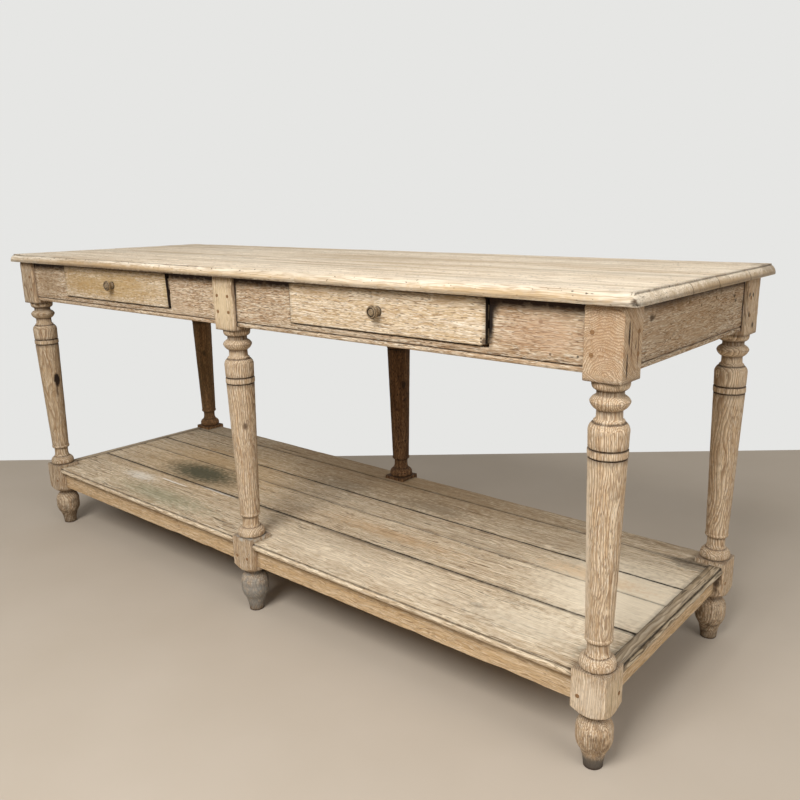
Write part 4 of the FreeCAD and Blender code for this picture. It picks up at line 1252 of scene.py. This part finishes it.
APRON_Y = 307.5
APRON_X = 965.0
APRONS = (
    Apron("front_left", -APRON_Y, 1, LEFT_BAY, Axis.X, (-230, 690), -0.1, (0.7, 0.5), -DRAWER_X),
    Apron("front_right", -APRON_Y, 1, RIGHT_BAY, Axis.X, (-220, 700), -0.25, (1.2, 0.5), DRAWER_X),
    Apron("rear_left", APRON_Y, -1, LEFT_BAY, Axis.X, (180, 690), -0.3),
    Apron("rear_right", APRON_Y, -1, RIGHT_BAY, Axis.X, (420, 700), -0.2),
    Apron("left_end", -APRON_X, 1, END_BAY, Axis.Y, (-1100, 660), -0.1),
    Apron("right_end", APRON_X, -1, END_BAY, Axis.Y, (1085, 700), -0.9, (0.5, 1.3)),
)
STRETCHER_Y = 285.0
STRETCHER_X = 942.5
STRETCHERS = (
    Stretcher("front_left", -STRETCHER_Y, LEFT_BAY, Axis.X, (-240, 60)),
    Stretcher("front_right", -STRETCHER_Y, RIGHT_BAY, Axis.X, (-330, 95)),
    Stretcher("rear_left", STRETCHER_Y, LEFT_BAY, Axis.X, (240, 60)),
    Stretcher("rear_right", STRETCHER_Y, RIGHT_BAY, Axis.X, (330, 95)),
    Stretcher("left_end", -STRETCHER_X, END_BAY, Axis.Y, (-900, 60)),
    Stretcher("right_end", STRETCHER_X, END_BAY, Axis.Y, (900, 90)),
)


@dataclass
class Shelf:
    """Five lengthwise boards between two end caps, notched round the leg blocks."""

    foot: float = 175.0
    head: float = 192.0
    half_depth: float = 311.0
    half_deck: float = 941.0
    half_length: float = 972.0
    seam: float = 1.5
    inset: float = 4.5
    step: float = 3.5
    notch: float = 35.0
    arris: float = 1.3
    section_step: float = 9.0
    # Height above which the nosing's step is darkened
    step_foot: float = 187.0
    edges: tuple[float, ...] = (-311.0, -130.0, 7.23, 96.77, 234.0, 311.0)
    # How dark each seam is, from the front
    grime: tuple[float, ...] = (0.0, 1.3, 0.7, 1.3, 0.8, 0.0)
    # Name, pith from the near edge, its height, and tone of each board, from the front
    boards: tuple[tuple[str, float, float, float], ...] = (
        ("front", 40, 120, 0.1),
        ("second", -200, 60, 0.0),
        ("third", 130, 260, -0.4),
        ("fourth", -20, 90, -0.25),
        ("rear", 90, 230, -0.4),
    )

    def nosed(self, tip: float, back: float) -> Array:
        """Section of a nosed board: a bow at the tip, a step up, then the flat to the back.

        Args:
            tip: Where the nosing ends.
            back: Where the far edge is.

        Returns:
            Closed loop of points across and up.
        """
        share = np.linspace(0, 1, 9)
        nose = self.inset * (1 - 4 * share * (1 - share))
        rise = self.foot + (self.head - self.step - self.foot) * share
        width = abs(back - tip)
        depth = np.r_[nose, self.inset + np.array([0, 0.6, 1.6]), width - np.array([1.2, 0.4, 0, 0])]
        up = np.r_[rise, self.head - np.array([0.9, 0.2, 0, 0, 0.3, 1.2]), self.foot]
        across = tip + math.copysign(1, back - tip) * depth
        return densify(np.stack([across, up], axis=1), self.section_step)

    def board(self, number: int, oak: Material) -> None:
        """Builds a board: its section is carried along x, and in a notch its edge is drawn back.

        Args:
            number: Place of the board, from the front.
            oak: Its finish.
        """
        name, pith, pith_head, tone = self.boards[number]
        low, high = self.edges[number : number + 2]
        gap = self.seam / 2
        corners = (low + gap, self.foot), (high - gap, self.head)
        section = eased_box(*corners, self.arris, self.section_step)
        if name == "front":
            section = self.nosed(low, high - gap)
        elif name == "rear":
            section = self.nosed(high, low + gap)
        cuts = np.array([-LEG_X, 0, LEG_X])
        stops = np.concatenate([cuts - self.notch, cuts + self.notch])
        stops = stops[np.abs(stops) < self.half_deck]
        along = stations(-self.half_deck, self.half_deck, 10.0, (*stops - 0.01, *stops + 0.01))
        points = carry(section, along, Axis.X)
        x, y, up = points[..., 0], points[..., 1], points[..., 2]
        from_leg = np.abs(x[..., None] - cuts).min(axis=-1)
        inside = from_leg < self.notch
        outer = name in ("front", "rear")
        if outer:
            clear = LEG_Y - self.notch
            y[inside] = np.clip(y[inside], -clear, clear)
        wave = 0.35 * ripple(points[..., :2], Seed.SHELF + number, 600, 45)
        up -= (up > self.head - 1.0) * (0.35 + wave)
        if name == "front":
            nose = np.clip(1 - (y + self.half_depth) / 7, 0, 1) * ~inside
            y += nose * dents(x, Seed.SHELF_EDGE, 60, 18, 1.6)
        near, far = self.grime[number : number + 2]
        darkness = np.maximum(near * bell(y, low, 2.6), far * bell(y, high, 2.6))
        if outer:
            depth = self.half_depth - np.abs(y)
            darkness += 0.7 * bell(depth, self.inset, 0.9) * (up > self.step_foot) * ~inside
            darkness += 0.5 * bell(from_leg, self.notch, 6) * ease(depth, 75, 55)
        darkness += 0.4 * bell(np.abs(x), self.half_deck, 5)
        skin = Skin(points, darkness, ringed=True)
        timber = Timber(Axis.X, (low + pith, pith_head), 1213.0 * number, tone)
        Dressing(oak, "shelf_oak").put_on(f"shelf_{name}_board", f"shelf_{name}_plank", [skin], timber)

    def cap(self, name: str, sign: float, oak: Material) -> None:
        """Builds an end cap: the nosed section carried along y.

        Args:
            name: Its end of the table.
            sign: Sign of x at that end.
            oak: Its finish.
        """
        half = LEG_Y - self.notch
        section = self.nosed(sign * self.half_length, sign * (self.half_deck + 0.3))
        points = carry(section, stations(-half, half, 8.0), Axis.Y)
        y, up = points[..., 1], points[..., 2]
        depth = self.half_length - np.abs(points[..., 0])
        points[..., 0] -= sign * np.clip(1 - depth / 7, 0, 1) * dents(y, Seed.CAP_EDGE, 50, 16, 1.8)
        darkness = 0.9 * bell(depth, self.inset, 1.1) * (up > self.step_foot) + 0.8 * bell(depth, 31, 2.0)
        skin = Skin(points, darkness + 0.45 * bell(np.abs(y), half, 8), ringed=True)
        timber = Timber(Axis.Y, (sign * 930, 150), 300.0 * sign)
        node = f"shelf_{name}_end_cap"
        Dressing(oak, "shelf_oak").put_on(node, f"{node}_nosed", [skin], timber)

    def build(self, board_oak: Material, cap_oak: Material) -> None:
        """Builds the boards and the end caps.

        Args:
            board_oak: Finish of the boards.
            cap_oak: Finish of the end caps.
        """
        for number in range(len(self.boards)):
            self.board(number, board_oak)
        self.cap("left", -1.0, cap_oak)
        self.cap("right", 1.0, cap_oak)


@dataclass
class Drawer:
    """The front board and the turned knob of one drawer."""

    name: str
    x: float
    timber: Timber
    # How far the head of the right end leans in, and how high its foot is chipped
    lean: float = 0.0
    chip: float = 0.0
    lean_reach: float = 60.0
    chip_reach: Pair = (9.0, 6.0)
    arris: float = 1.5
    end_arris: float = 1.3
    section_step: float = 6.0
    half_width: float = 248.2
    foot: float = 745.0
    head: float = 829.0
    face: float = -312.0
    thickness: float = 20.0
    knob_z: float = 787.0
    knob_step: float = 0.6
    knob_turns: int = 72
    # Radius and distance out from the face, with the bow of the line to the next point
    knob: tuple[Triple, ...] = (
        (10, 0, 0), (10, 2.2, 0.3), (9.2, 3.2, -0.9), (7.5, 8, -0.7), (10.2, 12.8, -0.4),
        (12.6, 14, 0.2), (13, 14.8, 0.5), (12.2, 17.4, 0.6), (9.9, 19.9, 0), (9.4, 19.9, 0),
        (8.9, 18.2, 0), (7.1, 18.0, 0), (6.6, 18.8, 0.3), (5.4, 19.7, 0.15), (0.6, 19.95, 0),
    )

    def front(self, oak: Material) -> None:
        """Builds the front: an eased section carried along x, with its right end leaning or chipped.

        Args:
            oak: Its finish.
        """
        corners = (self.face, self.foot), (self.face + self.thickness, self.head)
        section = eased_box(*corners, self.arris, self.section_step)
        left, right = self.x - self.half_width, self.x + self.half_width
        close = np.array([0.0, 0.3, 0.8, 1.5])
        along = stations(left, right, 10.0, (*left + close, *right - close))
        points = round_ends(carry(section, along, Axis.X), self.end_arris)
        x, y, up = points[..., 0], points[..., 1], points[..., 2]
        rise = (up - self.foot) / (self.head - self.foot)
        x -= self.lean * rise * ease(x, right - self.lean_reach, right)
        wide, high = self.chip_reach
        away = np.hypot((x - right) / wide, (up - self.foot) / high)
        up += self.chip * np.clip(1 - away, 0, 1)
        y += 0.15 + 0.15 * ripple(points, Seed.DRAWER, 300, 30)
        # Along the outer top arris: partly grime, partly painted shadow of the top's overhang
        head = 0.8 * bell(up, self.head, 4.5) * ease(y, self.face + 6, self.face)
        darkness = np.maximum(0.6 * bell(up, self.foot, 1.6), head)
        darkness += 0.5 * bell(x, right, 2.5) + 0.35 * bell(x, left, 2.5)
        # The right end face is painted near black: painted shade for the gap that the right end leaves
        darkness[-1] = 2.0
        node = f"{self.name}_front"
        skin = Skin(points, darkness, ringed=True)
        Dressing(oak, "drawer_oak", self.name).put_on(node, f"{node}_planed", [skin], self.timber)

    def turned_knob(self, oak: Material) -> None:
        """Builds the knob: its profile turned round a line that stands out from the front.

        Args:
            oak: Its finish.
        """
        profile = lathe(self.knob, self.knob_step, self.knob_step)
        radii, out = profile[:, :1], profile[:, 1:]
        turns = np.linspace(0, 2 * np.pi, self.knob_turns, endpoint=False)
        upright = turned(radii, turns, profile[:, 1])
        middle = np.array([self.x, self.face, self.knob_z])
        points = middle + upright[..., [0, 2, 1]] * np.array([1, -1, 1])
        darkness = bell(out, 18.1, 0.7) * (radii > 6) + 0.9 * bell(out, 0, 4) + 0.7 * bell(out, 13.2, 1.0)
        skin = Skin(points, np.broadcast_to(darkness, points.shape[:2]), ringed=True)
        timber = Timber(Axis.Y, (self.x + 4, self.knob_z - 3))
        node = f"{self.name}_knob"
        Dressing(oak, "knob_oak", self.name).put_on(node, f"{node}_turned", [skin], timber)


@dataclass
class Studio:
    """Floor, light and camera."""

    camera_place: Triple = (1.4948, -1.4229, 0.9830)
    camera_turn: Triple = (75.1641, 0.7941, 39.4523)
    lens: float = 35.927
    shift: Pair = (-0.02656, 0.01860)
    # How far the floor reaches ahead of the camera, and to its sides and rear
    floor_end: float = 3.08
    floor_reach: float = 7.0
    floor_colours: tuple[str, str] = ("#b2a594", "#bdb1a2")
    wall_colour: str = "#e6e6e4"
    # Strength of the sky light at the horizon and overhead
    dome: Pair = (0.05, 0.38)
    # Name, place and aim in metres, side of the face in metres, and watts
    lamps: tuple[tuple[str, Triple, Triple, float, float], ...] = (
        ("main", (0.9, -2.6, 2.9), (0.2, 0.0, 0.4), 1.6, 121.0),
        ("overhead", (0.0, 0.3, 3.2), (0.0, 0.0, 0.5), 3.0, 18.0),
        ("right", (3.3, -0.7, 1.9), (0.4, 0.0, 0.4), 2.2, 41.0),
    )

    def floor(self) -> None:
        """Lays a floor of trowelled concrete, plain, pale and matt, square to the camera's heading."""
        heading = math.radians(self.camera_turn[2])
        ahead = np.array([-math.sin(heading), math.cos(heading)])
        right = np.array([math.cos(heading), math.sin(heading)])
        eye = np.array(self.camera_place[:2])
        wide, far = self.floor_reach, self.floor_end
        corners = ((-wide, -wide), (-wide, wide), (far, wide), (far, -wide))
        mesh = bpy.data.meshes.new("floor")
        places = [(*(eye + ahead * depth + right * side), 0.0) for depth, side in corners]
        mesh.from_pydata(places, [], [(0, 1, 2, 3)])
        material = bpy.data.materials.new("concrete_trowelled_floor")
        tree = bare_tree(material)
        place = put(tree, "TexCoord").node.outputs["Object"]
        cloud = put(tree, "TexNoise", {"Vector": place, "Scale": 3.0, "Detail": 5.0})
        dark, pale = map(linear, self.floor_colours)
        colour = put(tree, "Mix", {0: cloud, 6: dark, 7: pale}, data_type="RGBA")
        look = {"Base Color": colour, "Roughness": 0.9, "Specular IOR Level": 0.2}
        put(tree, "OutputMaterial", {"Surface": put(tree, "BsdfPrincipled", look)})
        mesh.materials.append(material)
        floor = add_object("floor", mesh)

    def world(self) -> None:
        """Sets a soft world light, which the camera and reflections see as a pale wall."""
        world = bpy.data.worlds.new("studio_world")
        bpy.context.scene.world = world
        tree = bare_tree(world)
        way = put(tree, "TexCoord").node.outputs["Generated"]
        up = put(tree, "SeparateXYZ", {0: way}).node.outputs["Z"]
        dome = put(tree, "MapRange", {"Value": up, 1: 0.0, 2: 0.8, 3: self.dome[0], 4: self.dome[1]})
        light = put(tree, "Background", {"Color": linear("#fbfaf8"), "Strength": dome})
        wall = put(tree, "Background", {"Color": linear(self.wall_colour), "Strength": 1.0})
        path = put(tree, "LightPath").node.outputs
        shiny = {0: path["Is Glossy Ray"], 1: path["Is Transmission Ray"]}
        shown = put(tree, "Math", shiny, operation="MAXIMUM")
        seen = put(tree, "Math", {0: path["Is Camera Ray"], 1: shown}, operation="MAXIMUM")
        both = put(tree, "MixShader", {0: seen, 1: light, 2: wall})
        put(tree, "OutputWorld", {"Surface": both})

    def light(self) -> None:
        """Hangs the square soft lamps, each looking at its aim."""
        for name, place, aim, size, watts in self.lamps:
            light = bpy.data.lights.new(name, "AREA")
            light.shape = "SQUARE"
            light.size = size
            light.energy = watts
            lamp = add_object(name, light)
            lamp.location = place
            x, y, z = np.subtract(aim, place)
            lamp.rotation_euler = (math.atan2(math.hypot(x, y), -z), 0.0, math.atan2(y, x) - math.pi / 2)

    def camera(self) -> None:
        """Sets the camera at the photograph's viewing angle."""
        data = bpy.data.cameras.new("camera")
        data.sensor_width = 36.0
        data.lens = self.lens
        data.shift_x, data.shift_y = self.shift
        data.clip_end = 100.0
        camera = add_object("camera", data)
        camera.location = self.camera_place
        camera.rotation_euler = tuple(math.radians(turn) for turn in self.camera_turn)
        bpy.context.scene.camera = camera

    def build(self) -> None:
        """Sets up the whole studio."""
        self.floor()
        self.world()
        self.light()
        self.camera()
        bpy.context.scene.view_settings.view_transform = "Standard"


def dress_hidden(nodes: dict[str, bpy.types.Object]) -> None:
    """Gives every CAD node that still shows an oak finish.

    Args:
        nodes: The frame's CAD nodes by name.
    """
    rail, lining, peg = (oak.build(GrainSource.OBJECT) for oak in (RAIL_OAK, LINING_OAK, PEG_OAK))
    for name, node in nodes.items():
        if node.hide_render:
            continue
        material = rail
        if name.endswith("_pegs"):
            material = peg
        elif name.endswith(("_side", "_back", "_bottom")):
            material = lining
        node.data.materials.clear()
        node.data.materials.append(material)
        LOG.info("%s: CAD shape kept, finish %s", name, material.name)


def main() -> None:
    """Builds the table piece by piece round the frame."""
    logging.basicConfig(level=logging.INFO, format="%(name)s: %(message)s")
    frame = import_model()
    Studio().build()
    Top().build(TOP_OAK.build())
    leg_oak, brown_and_shaded_oak = LEG_OAK.build(), BROWN_AND_SHADED_LEG_OAK.build()
    legs = (
        ("front_left", -LEG_X, -LEG_Y, (-30, 38), -0.7),
        ("front_middle", 0.0, -LEG_Y, (-26, -30), -0.25),
        ("front_right", LEG_X, -LEG_Y, (34, -22), -0.1),
        ("rear_left", -LEG_X, LEG_Y, (20, 36), 2.3),
        ("rear_middle", 0.0, LEG_Y, (-36, 12), 0.0),
        ("rear_right", LEG_X, LEG_Y, (28, 30), -0.15),
    )
    for number, (name, x, y, pith, tone) in enumerate(legs):
        timber = Timber(Axis.Z, (x + pith[0], y + pith[1]), 1500.0 * number, tone)
        if name == "front_right":
            timber = replace(timber, swirl=(705.0, 20.0, 0.9, 30.0))
        oak = brown_and_shaded_oak if name in ("rear_left", "rear_middle") else leg_oak
        Leg(f"{name}_leg", x, y, timber, 10 * number + 3).build(oak)
    for boards, finish in ((APRONS, RAIL_OAK), (STRETCHERS, STRETCHER_OAK)):
        oak = finish.build()
        for number, board in enumerate(boards):
            board.build(oak, number)
    Shelf().build(SHELF_OAK.build(), CAP_OAK.build())
    drawer_oak, knob_oak = DRAWER_OAK.build(), KNOB_OAK.build()
    drawers = (
        Drawer("left_drawer", -DRAWER_X, Timber(Axis.X, (-270, 792), 90.0, -0.18), lean=5.5),
        Drawer("right_drawer", DRAWER_X, Timber(Axis.X, (-400, 850), 1700.0, 0.05), chip=3.0),
    )
    for drawer in drawers:
        drawer.front(drawer_oak)
        drawer.turned_knob(knob_oak)
    dress_hidden(frame["nodes"])


if __name__ == "__main__":
    main()
